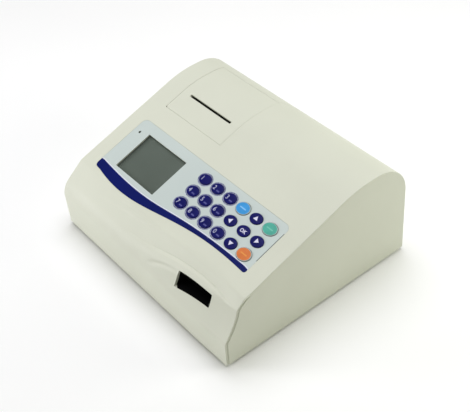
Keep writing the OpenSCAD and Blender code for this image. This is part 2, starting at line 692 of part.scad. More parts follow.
module stepper_motor() color("#a9adb0") in_case() difference() {
    union() {
        post(pinion_x, pinion_y, 23, guide_z[0], 12.5);
        post(pinion_x, pinion_y, guide_z[0] - 1, guide_z[1] - 0.3, motor_collar_r);
    }
    post(pinion_x, pinion_y, 35.5, guide_z[1] + 1, drive_shaft_r + shaft_gap);
}
module head_bridge() color("#8d9294") in_case() difference() {
    span([52.1, 94, rail_top], [tray_x[1] + 2.2, 130, rail_top + 2]);
    span([60, 99, rail_top - 1], [86, 125, rail_top + 3]);
}
module optical_head() color("#26282a") in_case() difference() {
    union() {
        span([60.3, 99.3, rail_top + 0.6], [85.7, 124.7, 74]);
        span([57, 96, rail_top + 2], [89, 128, rail_top + 4]);
        span([64, 103, 74], [82, 121, 76]);
    }
    post(strip_mid_x, 114, rail_top, rail_top + 8, 4);
}
module head_lens() color("#bcd2dc", 0.5) in_case()
    post(strip_mid_x, 114, rail_top + 0.8, rail_top + 3, 4 - shaft_gap);
module position_sensor() color("#202224") in_case() difference() {
    span([79, 162, guide_z[1]], [91, 170, 50]);
    span([83, 160, guide_z[1] + 0.7], [87, 172, 51]);
}

// ---- rear connectors --------------------------------------------------------------------

module power_inlet() color("#202224") in_case() difference() {
    union() {
        span([jack_mid[0] - 4.6, 192, board_z + board_t], [jack_mid[0] + 4.6, case_d - wall - 0.2, 22]);
        translate([jack_mid[0], case_d - wall - 1, jack_mid[1]]) rotate([-90, 0, 0])
            cylinder(h = wall + 0.9, r = jack_r);
    }
    difference() {
        translate([jack_mid[0], case_d - 10, jack_mid[1]]) rotate([-90, 0, 0]) cylinder(h = 12, r = 3.2);
        translate([jack_mid[0], case_d - 11, jack_mid[1]]) rotate([-90, 0, 0]) cylinder(h = 9.5, r = 1);
    }
}
jackscrew_pitch = 25;
jackscrew_r = 1.4;
module d_shell(grow) {
    polygon([[-8.3 - grow, 3.9 + grow], [8.3 + grow, 3.9 + grow],
             [6.9 + grow, -3.9 - grow], [-6.9 - grow, -3.9 - grow]]);
}
module serial_port() color("#a9adb0") in_case() translate([serial_mid[0], 0, serial_mid[1]]) difference() {
    union() {
        span([-15.4, 196, board_z + board_t - serial_mid[1]], [15.4, 205.5, 5.5]);
        span([-15.4, 205.5, -6.2], [15.4, 206.5, 6.2]);
        translate([0, case_d - 0.3, 0]) rotate([90, 0, 0]) linear_extrude(6) d_shell(0.5);
        for (side = [-1, 1]) translate([side * jackscrew_pitch / 2, 206, 0]) rotate([-90, 0, 0])
            cylinder(h = 5.5, r = 2.6, $fn = 6);
    }
    translate([0, case_d + 1, 0]) rotate([90, 0, 0]) linear_extrude(6.5) d_shell(0);
    for (side = [-1, 1]) translate([side * jackscrew_pitch / 2, 204, 0]) rotate([-90, 0, 0])
        cylinder(h = 10, r = jackscrew_r);
}
rocker_pivot_y = 204.5;
rocker_pin_r = 1;
module switch_body() color("#202224") in_case() translate([rocker_mid[0], 0, rocker_mid[1]]) difference() {
    union() {
        span([-9.5, 194, -6.5], [9.5, 206, 6.5]);
        span([-10.5, 205, -7.5], [10.5, case_d - 0.1, 7.5]);
    }
    span([-8.6, 199.5, -5.6], [8.6, case_d + 1, 5.6]);
    post(0, rocker_pivot_y, -6.2, 6.2, rocker_pin_r + shaft_gap);
}
// Rocker seen along its pin: tipped so that one side stands out and the other is in
ROCKER = [[6.5, 4.9], [0, 3.9], [-6.5, 6.5], [-6.5, 1], [-3, -2.5], [3, -2.5], [6.5, 1]];
module power_rocker() color("#2a2c2e") in_case()
    translate([rocker_mid[0], rocker_pivot_y, rocker_mid[1]]) {
        translate([0, 0, -5.2]) linear_extrude(10.4) polygon(ROCKER);
        translate([0, 0, -6.1]) cylinder(h = 12.2, r = rocker_pin_r);
    }

upper_case();
base_plate();
rubber_feet();
case_screws();
panel_overlay();
lcd_window();
lcd_module();
status_led();
key_1();
key_2();
key_3();
key_blue();
key_up();
key_green();
key_4();
key_5();
key_6();
key_left();
key_ok();
key_right();
key_7();
key_8();
key_9();
key_0();
key_down();
key_orange();
keypad_mat();
keypad_board();
main_board();
board_screws();
printer_cover();
cover_hinge_pin();
paper_bay();
paper_roll();
roll_core();
roll_spindle();
printer_frame();
print_head();
platen_roller();
platen_shaft();
platen_gear();
idler_gear();
printer_pinion();
printer_motor();
strip_tray();
tray_rack();
strip_holder();
white_reference();
tray_guide();
drive_pinion();
stepper_motor();
head_bridge();
optical_head();
head_lens();
position_sensor();
power_inlet();
serial_port();
switch_body();
power_rocker();
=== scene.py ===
# Looks of a desktop urine strip analyzer: moulded wedge housing, printed keypad panel, display,
# receipt printer under a hinged cover, and a motorised strip tray behind a mouth in the front.
# Shapes are drawn in millimetres and written to the meshes in metres, in the CAD frame.
import math

import bmesh
import bpy
import numpy as np
from mathutils import Matrix, Vector
from mathutils.geometry import delaunay_2d_cdt


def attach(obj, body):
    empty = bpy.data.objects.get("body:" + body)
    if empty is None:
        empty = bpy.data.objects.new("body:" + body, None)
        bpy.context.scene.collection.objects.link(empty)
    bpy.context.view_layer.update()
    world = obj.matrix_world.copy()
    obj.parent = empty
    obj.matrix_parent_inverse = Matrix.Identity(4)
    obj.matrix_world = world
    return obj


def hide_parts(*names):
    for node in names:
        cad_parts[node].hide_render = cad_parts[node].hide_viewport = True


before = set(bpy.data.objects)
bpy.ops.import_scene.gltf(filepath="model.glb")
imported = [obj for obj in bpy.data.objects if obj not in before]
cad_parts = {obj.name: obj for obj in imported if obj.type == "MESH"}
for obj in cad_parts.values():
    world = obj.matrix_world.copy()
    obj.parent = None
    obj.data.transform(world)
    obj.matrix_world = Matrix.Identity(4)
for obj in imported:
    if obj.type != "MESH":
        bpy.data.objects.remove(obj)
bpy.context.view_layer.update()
scene = bpy.context.scene

# ---- sizes in millimetres; most repeat the CAD source, the rest are the skin's own -------

HALF_W, DEPTH, ROOF = 125.0, 212.0, 107.5
WALL = 2.5
PANEL_Z, PANEL_A = 57.0, math.radians(18.43)
SLOPE_Z, SLOPE_A = 44.8, math.radians(38.9)
FOOT_H = 2.0
SLOPE_R, BROW_R, ROOF_R, REAR_R = 22.0, 9.0, 105.0, 36.0
# Mouth: its place at the left end, how far its lower and upper edges climb, and their arch
MOUTH_X, MOUTH_Z = (52.0, 94.5), (39.8, 54.2)
MOUTH_RISES, MOUTH_ARCH = (2.8, 0.8), 0.9
# Keys: spacing, first key, sizes across and along the panel, crown; growths of their printed rings, and of
# the painted gap shadow round the wide keys
KEY_DX, KEY_DY, KEY_X0, KEY_S0 = 17.9, 15.5, 2.5, 55.8
KEY_SIZE, WIDE_KEY = (14.0, 10.6), (15.8, 12.2)
KEY_PROUD, KEY_CROWN, KEY_FILLET = 0.9, 0.14, 0.45
HALO, RIM_LINE = (0.5, 1.5), 0.5
LCD_MID, LCD_VIEW = (-57.75, 66.6), (59.5, 43.8)
LED_AT, LED_R = (-99.0, 84.6), 1.45
# Panel film: outline, the wave's two edges as Bezier points, its pale border, and the painted shadow line
# along its right edge
OVERLAY_L, OVERLAY_R, OVERLAY_TOP, OVERLAY_CORNER, OVERLAY_T = -107.0, 106.0, 99.3, 6.0, 0.3
WAVE_LOW = [(-105, 33.3), (-25, 15.3), (0.2, 50.2), (103.4, 43.5)]
WAVE_HIGH = [(-106.6, 42.0), (1.5, 31.6), (-17.3, 49.6), (106, 48.5)]
BORDER = 1.0
EDGE_LINE, EDGE_SPAN = 0.7, (58, 91)
# Printer cover, its paper slot, and its hinge under the roof with the round heel about it
COVER_L, COVER_R, COVER_S, COVER_T = -101.0, -16.0, 121.0, 2.4
SLOT_W, SLOT_D, SLOT_S = 62.0, 2.8, 144.8
HINGE_DEPTH, HEEL_R = 4.0, 5.2
HINGE_TILT = math.radians(12.84)
HINGE_Y = DEPTH - REAR_R + (REAR_R - HINGE_DEPTH) * math.sin(HINGE_TILT)
HINGE_Z = ROOF - REAR_R + (REAR_R - HINGE_DEPTH) * math.cos(HINGE_TILT)
# Places on the back, and the paper roll's axis
JACK_X, JACK_Z = -82.0, 17.0
SERIAL_X, SERIAL_Z = -35.0, 18.5
ROCKER_X, ROCKER_Z = 90.0, 25.0
ROLL_Y, ROLL_Z = 168, 75
BOARD_TOP = 0.002 + 0.0106 + 0.0001  # in metres, just over the main board's upper face
# Gaps round the keys and the cover; the mouth's dark sleeve of painted shade, and the wall left bare before
# it
GAP, SEAM = 0.3, 0.14
SLEEVE_START, BARE_WALL, SLEEVE_END = 0.15, 3.0, 17.8


def case_point(x, y, z):
    """y is counted from the housing's front face and z from its lower edge."""
    return (x / 1000, (y - DEPTH / 2) / 1000, (z + FOOT_H) / 1000)


def panel_point(x, s, n):
    """s runs up the panel, n stands out of it."""
    return case_point(x, s * math.cos(PANEL_A) - n * math.sin(PANEL_A),
                      PANEL_Z + s * math.sin(PANEL_A) + n * math.cos(PANEL_A))


# ---- materials ---------------------------------------------------------------------------

def linear(rgb):
    return tuple((c / 255 / 12.92 if c / 255 <= 0.04045 else ((c / 255 + 0.055) / 1.055) ** 2.4)
                 for c in rgb) + (1.0,)


class Shade:
    """A node material under construction: a Principled shader with textures in object space."""

    def __init__(self, name, rough=0.5, metal=0.0, specular=0.5, **sockets):
        self.m = bpy.data.materials.new(name)
        self.m.use_nodes = True
        self.t = self.m.node_tree
        self.t.nodes.clear()
        self.out = self.node("ShaderNodeOutputMaterial")
        self.p = self.node("ShaderNodeBsdfPrincipled")
        self.link(self.p.outputs[0], self.out.inputs["Surface"])
        self.put(self.p, Roughness=rough, Metallic=metal, Specular_IOR_Level=specular, **sockets)
        self.co = self.node("ShaderNodeTexCoord").outputs["Object"]

    def node(self, kind, **values):
        n = self.t.nodes.new(kind)
        for key, value in values.items():
            setattr(n, key, value)
        return n

    def put(self, node, **sockets):
        """Sets the values of a node's input sockets."""
        for key, value in sockets.items():
            node.inputs[key.replace("_", " ")].default_value = value

    def link(self, a, b):
        self.t.links.new(a, b)

    def feed(self, value, socket):
        """Links a colour or number from another node, or sets it."""
        if isinstance(value, (tuple, int, float)):
            socket.default_value = value
        else:
            self.link(value, socket)

    def noise(self, scale, detail=2.0, rough=0.5, stretch=None):
        n = self.node("ShaderNodeTexNoise")
        self.put(n, Scale=scale, Detail=detail, Roughness=rough)
        source = self.co
        if stretch:
            m = self.node("ShaderNodeMapping")
            self.put(m, Scale=stretch)
            self.link(self.co, m.inputs["Vector"])
            source = m.outputs[0]
        self.link(source, n.inputs["Vector"])
        return n.outputs["Fac"]

    def ramp(self, fac, stops, mode="LINEAR"):
        r = self.node("ShaderNodeValToRGB")
        r.color_ramp.interpolation = mode
        e = r.color_ramp.elements
        while len(e) < len(stops):
            e.new(0.5)
        for k, (at, colour) in enumerate(stops):
            e[k].position = at
            e[k].color = colour
        self.link(fac, r.inputs["Fac"])
        return r.outputs["Color"]

    def spread(self, fac, lo, hi):
        m = self.node("ShaderNodeMapRange")
        self.put(m, From_Min=0.3, From_Max=0.7, To_Min=lo, To_Max=hi)
        self.link(fac, m.inputs["Value"])
        return m.outputs[0]

    def mix(self, fac, a, b):
        m = self.node("ShaderNodeMix", data_type="RGBA")
        self.link(fac, m.inputs["Factor"])
        for value, name in ((a, "A"), (b, "B")):
            self.feed(value, [s for s in m.inputs if s.name == name and s.type == "RGBA"][0])
        return [s for s in m.outputs if s.type == "RGBA"][0]

    def math(self, op, a, b=None):
        m = self.node("ShaderNodeMath", operation=op)
        self.feed(a, m.inputs[0])
        if b is not None:
            self.feed(b, m.inputs[1])
        return m.outputs[0]

    def axes(self):
        s = self.node("ShaderNodeSeparateXYZ")
        self.link(self.co, s.inputs[0])
        return s.outputs

    def colour(self, source):
        self.link(source, self.p.inputs["Base Color"])
        return self

    def rough(self, fac, lo, hi):
        self.link(self.spread(fac, lo, hi), self.p.inputs["Roughness"])
        return self

    def bump(self, height, strength, distance=0.0002):
        b = self.node("ShaderNodeBump")
        self.put(b, Strength=strength, Distance=distance)
        self.link(height, b.inputs["Height"])
        self.link(b.outputs[0], self.p.inputs["Normal"])
        return self


def shades(rgb, change):
    """Two colours a little darker and a little lighter than rgb."""
    return (linear([c * (1 - change) for c in rgb]), linear([min(255, c * (1 + change)) for c in rgb]))


def moulded(name, rgb, change=0.02, rough=(0.42, 0.5), patch=14, grain=1500, depth=0.08, specular=0.5,
            **sockets):
    """Injection-moulded plastic: slight clouding, spark-eroded grain, uneven gloss."""
    s = Shade(name, specular=specular, **sockets)
    dark, light = shades(rgb, change)
    cloud = s.noise(patch, 3)
    s.colour(s.ramp(cloud, [(0.3, dark), (0.7, light)]))
    s.rough(s.noise(patch * 6, 2), *rough)
    s.bump(s.noise(grain, 1), depth, 0.00006)
    return s.m


def metal(name, rgb, rough=(0.25, 0.4), stretch=(30, 400, 400), change=0.05, depth=0.1):
    """Drawn or turned metal with fine marks along one direction."""
    s = Shade(name, metal=1.0)
    dark, light = shades(rgb, change)
    marks = s.noise(6, 3, stretch=stretch)
    s.colour(s.ramp(marks, [(0.3, dark), (0.7, light)]))
    s.rough(marks, *rough)
    s.bump(marks, depth, 0.00005)
    return s.m


IVORY = moulded("housing_ivory", (213, 215, 199), 0.008, (0.5, 0.58), depth=0.06, specular=0.2)
INNER = moulded("inner_grey_plastic", (190, 191, 182), 0.03, (0.5, 0.62), depth=0.08)
# Near-black standing in for the shade inside the mouth: painted shade on the sleeve, and on the tray guide's
# black plastic.
PAINTED_SHADE_BLACK = moulded("mouth_painted_shade_black", (9, 9, 10), 0.1, (0.8, 0.9), specular=0.03)
TRAY_BLACK = moulded("tray_plastic", (18, 19, 20), 0.1, (0.6, 0.7), specular=0.1)
BLACK = moulded("black_plastic", (34, 35, 37), 0.12, (0.45, 0.6), depth=0.12)
WHITE = moulded("white_plastic", (228, 228, 222), 0.02, (0.4, 0.5))
GEAR = moulded("acetal_gears", (226, 222, 206), 0.02, (0.32, 0.42), patch=60)
FOOT = moulded("foot_rubber", (52, 52, 54), 0.12, (0.75, 0.9), patch=90, grain=3000, depth=0.2,
               specular=0.3)
PLATEN = moulded("platen_rubber", (40, 40, 42), 0.1, (0.6, 0.75), patch=80, grain=4000, depth=0.15)
SILICONE = moulded("silicone_mat", (118, 124, 120), 0.05, (0.55, 0.7), patch=60)
KEY_GLOSS = dict(patch=160, grain=2500, depth=0.03, specular=0.12)
NAVY_KEY = moulded("navy_key", (15, 17, 90), 0.06, (0.3, 0.38), **KEY_GLOSS)
BLUE_KEY = moulded("blue_key", (64, 150, 214), 0.04, (0.3, 0.38), **KEY_GLOSS)
GREEN_KEY = moulded("green_key", (84, 172, 154), 0.04, (0.3, 0.38), **KEY_GLOSS)
ORANGE_KEY = moulded("orange_key", (214, 122, 68), 0.04, (0.3, 0.38), **KEY_GLOSS)
MARK_WHITE = moulded("key_print", (218, 217, 238), 0.02, (0.4, 0.5), patch=300)
FILM = dict(change=0.012, rough=(0.3, 0.36), patch=20, grain=5000, depth=0.03, specular=0.15)
LABEL = moulded("overlay_label", (197, 207, 203), **dict(FILM, patch=9))
NAVY_PRINT = moulded("overlay_navy", (14, 24, 92), **dict(FILM, change=0.05, specular=0.1))
BORDER_PRINT = moulded("overlay_border", (216, 219, 232), **FILM)
HALO_PRINT = moulded("overlay_halo", (186, 190, 214), **FILM)
# Painted shadow: the dark line round the wide keys' gaps and along the film's right edge.
EDGE_SHADOW = moulded("overlay_painted_edge_shadow", (112, 118, 116), **FILM)
DIGIT_PRINT = moulded("digit_print", (190, 192, 222), **FILM)
SMALL_PRINT = moulded("small_print", (100, 101, 166), **FILM)
PALE_RIM = moulded("key_rim", (172, 186, 184), **FILM)
# The lighter strips across the coloured keys are painted highlights, not print.
BAR_HIGHLIGHT = {"blue_key": moulded("blue_key_highlight", (136, 194, 240), **FILM),
             "green_key": moulded("green_key_highlight", (112, 192, 172), **FILM),
             "orange_key": moulded("orange_key_highlight", (226, 152, 78), **FILM)}
STEEL = metal("turned_steel", (190, 192, 196))
MOTOR = metal("motor_case", (158, 161, 166), (0.35, 0.5), stretch=(60, 60, 60))
FRAME_METAL = metal("galvanised_sheet", (148, 153, 158), (0.4, 0.55), stretch=(40, 40, 90), change=0.1)
BRASS = metal("brass", (196, 160, 92))
SHELL_METAL = metal("nickel_shell", (176, 176, 172), (0.28, 0.42), stretch=(80, 80, 80))
GOLD = metal("contact_gold", (214, 176, 98), (0.2, 0.3), stretch=(100, 100, 100))


def ring_print():
    """The speckled halo printed round the digit keys."""
    s = Shade("overlay_ring", rough=0.34)
    dots = s.noise(1500, 1)
    s.colour(s.ramp(dots, [(0.45, linear((58, 62, 112))), (0.62, linear((164, 168, 198)))]))
    s.rough(s.noise(60), 0.3, 0.38)
    return s.m


def display_face():
    """Reflective STN display: grey-green field, the faint grid of its dots, and a painted shadow of the bezel
    darkening its left edge.
    """
    s = Shade("display_face", specular=0.4)
    field = s.ramp(s.noise(24, 2), [(0.35, linear((96, 106, 97))), (0.65, linear((103, 113, 104)))])
    x, y, _ = s.axes()
    pitch = 0.00046
    cells = [s.math("PINGPONG", s.math("DIVIDE", axis, pitch), 0.5) for axis in (x, y)]
    line = s.math("LESS_THAN", s.math("MINIMUM", *cells), 0.06)
    grid = s.mix(s.math("MULTIPLY", line, 0.35), field, linear((84, 94, 86)))
    # Painted shadow of the bezel: the face darkens towards its left edge, over its leftmost 5.5 mm.
    left = (LCD_MID[0] - LCD_VIEW[0] / 2) / 1000
    painted_bezel_shadow = s.math("DIVIDE", s.math("SUBTRACT", x, left + 0.0055), -0.005)
    painted_bezel_shadow = s.math("MINIMUM", s.math("MAXIMUM", painted_bezel_shadow, 0.0), 1.0)
    s.colour(s.mix(s.math("MULTIPLY", painted_bezel_shadow, 0.6), grid, linear((40, 46, 42))))
    s.rough(s.noise(80), 0.3, 0.4)
    return s.m


def window_glass():
    s = Shade("window_acrylic", rough=0.12, specular=0.35, Alpha=0.22)
    dark, light = shades((112, 122, 114), 0.05)
    s.colour(s.ramp(s.noise(12), [(0.3, dark), (0.7, light)]))
    s.rough(s.noise(40), 0.1, 0.18)
    return s.m


def lens_glass():
    s = Shade("reader_lens", rough=0.08, specular=0.5, Transmission_Weight=0.7, IOR=1.5)
    s.colour(s.ramp(s.noise(200), [(0.3, linear((170, 195, 205))), (0.7, linear((190, 212, 220)))]))
    s.rough(s.noise(300), 0.05, 0.12)
    return s.m


def led_lens():
    s = Shade("lamp_lens", rough=0.2, specular=0.6, Coat_Weight=0.6)
    s.colour(s.ramp(s.noise(900), [(0.3, linear((40, 54, 44))), (0.7, linear((60, 76, 64)))]))
    s.rough(s.noise(900), 0.15, 0.25)
    return s.m


def circuit(name, upper_z=None):
    """Solder mask with traces and pads; what stands above the board is black and metal parts."""
    s = Shade(name, specular=0.5)
    mask = s.ramp(s.noise(30, 3), [(0.3, linear((22, 84, 50))), (0.7, linear((34, 104, 62)))])
    brick = s.node("ShaderNodeTexBrick", offset=0.5, squash=1.0)
    s.put(brick, Scale=240.0, Mortar_Size=0.06, Color1=(0, 0, 0, 1), Color2=(0.2, 0.2, 0.2, 1),
          Mortar=(1, 1, 1, 1))
    s.link(s.co, brick.inputs["Vector"])
    traced = s.mix(s.math("MULTIPLY", brick.outputs["Fac"], 0.55), mask, linear((58, 132, 84)))
    pads = s.node("ShaderNodeTexVoronoi")
    s.put(pads, Scale=260.0, Randomness=0.85)
    s.link(s.co, pads.inputs["Vector"])
    dot = s.math("LESS_THAN", pads.outputs["Distance"], 0.16)
    face = s.mix(dot, traced, linear((196, 190, 160)))
    if upper_z is not None:
        z = s.axes()[2]
        part = s.math("GREATER_THAN", z, upper_z)
        chips = s.ramp(s.noise(300), [(0.3, linear((30, 30, 32))), (0.7, linear((48, 48, 52)))])
        tall = s.math("GREATER_THAN", z, upper_z + 0.0026)
        cans = s.ramp(s.noise(200), [(0.3, linear((52, 64, 98))), (0.7, linear((66, 80, 118)))])
        face = s.mix(part, face, s.mix(tall, chips, cans))
    s.colour(face)
    s.rough(s.noise(120), 0.35, 0.5)
    s.bump(brick.outputs["Fac"], 0.15, 0.00005)
    return s.m


def paper():
    """Wound thermal paper: the edges of the turns show on the roll's ends."""
    s = Shade("thermal_paper", rough=0.6, specular=0.25)
    _, y, z = s.axes()
    dy = s.math("SUBTRACT", y, (ROLL_Y - DEPTH / 2) / 1000)
    dz = s.math("SUBTRACT", z, (ROLL_Z + FOOT_H) / 1000)
    radius = s.math("SQRT", s.math("ADD", s.math("MULTIPLY", dy, dy), s.math("MULTIPLY", dz, dz)))
    turns = s.math("SINE", s.math("MULTIPLY", radius, 15000))
    shade = s.math("ADD", s.math("MULTIPLY", turns, 0.18), s.noise(60))
    s.colour(s.ramp(shade, [(0.25, linear((226, 226, 222))), (0.75, linear((246, 246, 244)))]))
    s.rough(s.noise(400), 0.55, 0.7)
    s.bump(turns, 0.1, 0.00003)
    return s.m


def card():
    s = Shade("roll_card", rough=0.8, specular=0.2)
    fibre = s.noise(40, 5, 0.7, stretch=(20, 60, 60))
    s.colour(s.ramp(fibre, [(0.3, linear((150, 116, 74))), (0.7, linear((184, 150, 104)))]))
    s.rough(fibre, 0.7, 0.9)
    s.bump(fibre, 0.25, 0.0001)
    return s.m


RING_PRINT, DISPLAY, GLASS = ring_print(), display_face(), window_glass()
LENS, LED = lens_glass(), led_lens()
BOARD = circuit("main_board_mask", upper_z=BOARD_TOP)
PAD_BOARD = circuit("keypad_board_mask")
PAPER, CARD = paper(), card()

# ---- mesh tools --------------------------------------------------------------------------


def smooth_by_angle(mesh, degrees):
    mesh.polygons.foreach_set("use_smooth", [True] * len(mesh.polygons))
    mesh.set_sharp_from_angle(angle=math.radians(degrees))


def make(name, verts, faces, materials, face_material=None, sharp=35):
    """A mesh object from points in metres."""
    mesh = bpy.data.meshes.new(name)
    mesh.from_pydata([tuple(v) for v in verts], [], faces)
    for m in materials:
        mesh.materials.append(m)
    if face_material is not None:
        mesh.polygons.foreach_set("material_index", face_material)
    mesh.validate()
    smooth_by_angle(mesh, sharp)
    mesh.update()
    o = bpy.data.objects.new(name, mesh)
    scene.collection.objects.link(o)
    return o


def dress(o, material, sharp=32):
    o.data.materials.clear()
    o.data.materials.append(material)
    smooth_by_angle(o.data, sharp)


def face_out(o, loose=False):
    """Turns every face outwards, and drops loose points if asked."""
    bm = bmesh.new()
    bm.from_mesh(o.data)
    if loose:
        bmesh.ops.delete(bm, geom=[v for v in bm.verts if not v.link_faces], context="VERTS")
    bmesh.ops.recalc_face_normals(bm, faces=bm.faces)
    bm.to_mesh(o.data)
    bm.free()


def piece(o, body, slot, *nodes):
    """Puts a finished object on its CAD body, in place of its CAD nodes."""
    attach(o, body)
    if nodes:
        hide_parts(*nodes)


class Solid:
    """Collects closed bodies into one mesh."""

    def __init__(self):
        self.v, self.f, self.m = [], [], []

    def add(self, verts, faces, material=0):
        base = len(self.v)
        self.v += [tuple(p) for p in verts]
        self.f += [[base + i for i in f] for f in faces]
        self.m += [material] * len(faces)

    def loft(self, rings, place, material=0):
        """Closed rings of equal length joined one to the next and capped at both ends.
        Where the last ring is the first again, the body is a tube without caps."""
        n = len(rings[0])
        tube = rings[0] == rings[-1]
        rings = rings[:-1] if tube else rings
        count = len(rings)
        verts = [place(*p) for r in rings for p in r]
        faces = [[k * n + i, k * n + (i + 1) % n, (k + 1) % count * n + (i + 1) % n, (k + 1) % count * n + i]
                 for k in range(count if tube else count - 1) for i in range(n)]
        if not tube:
            faces += [list(range(n))[::-1], [(count - 1) * n + i for i in range(n)]]
        self.add(verts, faces, material)

    def lathe(self, outline, place, steps=48, material=0):
        """Turns an (r, h) outline round the h axis; it starts and ends on the axis or is a closed ring."""
        ring = [(math.cos(2 * math.pi * k / steps), math.sin(2 * math.pi * k / steps)) for k in range(steps)]
        self.loft([[(r * c, r * s, h) for c, s in ring] for r, h in outline], place, material)

    def build(self, name, materials, sharp=35):
        o = make(name, self.v, self.f, materials, self.m, sharp)
        face_out(o)
        smooth_by_angle(o.data, sharp)
        return o


def rounded_box(solid, lo, hi, r):
    """A box whose edges round by r, as a loft of rounded rectangles."""
    (x0, y0, z0), (x1, y1, z1) = lo, hi
    loft = []
    for edge, rise, steps in ((z0, r, range(5)), (z1, -r, range(4, -1, -1))):
        for k in steps:
            a = math.pi / 2 * k / 4
            inset, z = r * (1 - math.sin(a)), edge + rise * (1 - math.cos(a))
            c = max(r - inset, 0.02)
            loop = rounded_rectangle(x0 + inset, y0 + inset, x1 - inset, y1 - inset, c, 4)
            loft.append([(x, y, z) for x, y in loop])
    solid.loft(loft, case_point)


def rounded_rectangle(x0, y0, x1, y1, r, steps=6):
    points = []
    middles = (x1 - r, y1 - r, 0), (x0 + r, y1 - r, 90), (x0 + r, y0 + r, 180), (x1 - r, y0 + r, 270)
    for cx, cy, start in middles:
        for k in range(steps + 1):
            a = math.radians(start + 90 * k / steps)
            points.append((cx + r * math.cos(a), cy + r * math.sin(a)))
    return points


def ellipse(cx, cy, w, d, steps=48):
    return [(cx + w / 2 * math.cos(2 * math.pi * k / steps), cy + d / 2 * math.sin(2 * math.pi * k / steps))
            for k in range(steps)]


def inside(points, loop):
    """Which of the points lie in a closed loop."""
    points, loop = np.asarray(points), np.asarray(loop)
    hit = np.zeros(len(points), bool)
    for (x0, y0), (x1, y1) in zip(loop, np.roll(loop, -1, axis=0)):
        if y0 == y1:
            continue
        crosses = (y0 > points[:, 1]) != (y1 > points[:, 1])
        hit ^= crosses & (points[:, 0] < x0 + (points[:, 1] - y0) * (x1 - x0) / (y1 - y0))
    return hit


def plate(name, outer, holes, n0, n1, place, materials, marks=()):
    """A flat plate with holes. marks are (loop, material), the later ones over the earlier."""
    loops = [outer, *holes, *[m[0] for m in marks]]
    verts, edges = [], []
    for loop in loops:
        base = len(verts)
        verts += [Vector(p) for p in loop]
        edges += [(base + i, base + (i + 1) % len(loop)) for i in range(len(loop))]
    flat, _, tris, *_ = delaunay_2d_cdt(verts, edges, [], 0, 1e-5)
    flat = np.array([tuple(p) for p in flat])
    middles = np.array([flat[list(t)].mean(axis=0) for t in tris])
    keep = inside(middles, outer)
    for hole in holes:
        keep &= ~inside(middles, hole)
    index = np.zeros(len(tris), int)
    for loop, which in marks:
        index[inside(middles, loop)] = materials.index(which)
    tris = [tuple(t) for t, k in zip(tris, keep) if k]
    index = list(index[keep])
    count = len(flat)
    verts = [place(x, y, n1) for x, y in flat] + [place(x, y, n0) for x, y in flat]
    used = dict.fromkeys((a, b) for t in tris for a, b in zip(t, t[1:] + t[:1]))
    rim = [(a, b) for a, b in used if (b, a) not in used]
    faces = tris + [(c + count, b + count, a + count) for a, b, c in tris]
    faces += [(b, a, a + count, b + count) for a, b in rim]
    o = make(name, verts, faces, materials, index * 2 + [0] * len(rim), 40)
    face_out(o, loose=True)
    smooth_by_angle(o.data, 40)
    return o


def cut(o, cutter):
    """Takes the cutter's volume out of the object for good, and drops the cutter."""
    m = o.modifiers.new("cut", "BOOLEAN")
    m.operation, m.solver, m.object = "DIFFERENCE", "MANIFOLD", cutter
    bpy.context.view_layer.update()
    result = bpy.data.meshes.new_from_object(o.evaluated_get(bpy.context.evaluated_depsgraph_get()))
    o.modifiers.clear()
    old, o.data = o.data, result
    bpy.data.meshes.remove(old)
    bpy.data.objects.remove(cutter)


# ---- the housing's skin ------------------------------------------------------------------

# Side profile: where slope and panel meet, corner points and radii, and how finely they are divided
M_PANEL = (PANEL_Z - SLOPE_Z) / (math.tan(SLOPE_A) - math.tan(PANEL_A))
LOWER_EDGE = 1.2
CORNERS = [(0, LOWER_EDGE), (0, SLOPE_Z), (M_PANEL, SLOPE_Z + M_PANEL * math.tan(SLOPE_A)),
           ((ROOF - PANEL_Z) / math.tan(PANEL_A), ROOF), (DEPTH, ROOF), (DEPTH, LOWER_EDGE)]
RADII = [0, SLOPE_R, BROW_R, ROOF_R, REAR_R, 0]
STRAIGHTS = [40, 46, 44, 2, 18]
ARCS = [0, 26, 8, 14, 22, 0]
SPACING = [1, 1, 1.6, 1, 1]


def corners_at(t):
    """Corner points of the side profile with every edge but the floor moved inwards by t."""
    lines = []
    for i in range(6):
        p, q = np.array(CORNERS[i], float), np.array(CORNERS[(i + 1) % 6], float)
        d = (q - p) / np.linalg.norm(q - p)
        lines.append((p + np.array([d[1], -d[0]]) * (0 if i == 5 else t), d))
    points = []
    for i in range(6):
        (p, d), (q, e) = lines[i - 1], lines[i]
        k = ((q - p)[0] * e[1] - (q - p)[1] * e[0]) / (d[0] * e[1] - d[1] * e[0])
        points.append(p + d * k)
    return points


def turned(v, a):
    return np.array([v[0] * math.cos(a) - v[1] * math.sin(a), v[0] * math.sin(a) + v[1] * math.cos(a)])


def profile(t):
    """The side profile, from the front's lower edge over the roof to the back's, as rows of (y, z)."""
    c = corners_at(t)
    rows, last = [], c[0]
    for i in range(1, 6):
        before, here = c[i - 1], c[i]
        din = (here - before) / np.linalg.norm(here - before)
        if RADII[i]:
            after = c[i + 1]
            dout = (after - here) / np.linalg.norm(after - here)
            r = RADII[i] - t
            turn = math.acos(float(din @ dout))
            start = here - din * r * math.tan(turn / 2)
            middle = start + np.array([din[1], -din[0]]) * r
        else:
            start = here
        for k in range(STRAIGHTS[i - 1]):
            rows.append(last + (start - last) * (k / STRAIGHTS[i - 1]) ** SPACING[i - 1])
        last = start
        if RADII[i]:
            bend = [middle + turned(start - middle, -turn * k / ARCS[i]) for k in range(ARCS[i] + 1)]
            rows += bend[:-1]
            last = bend[-1]
    rows.append(last)
    return np.array(rows)


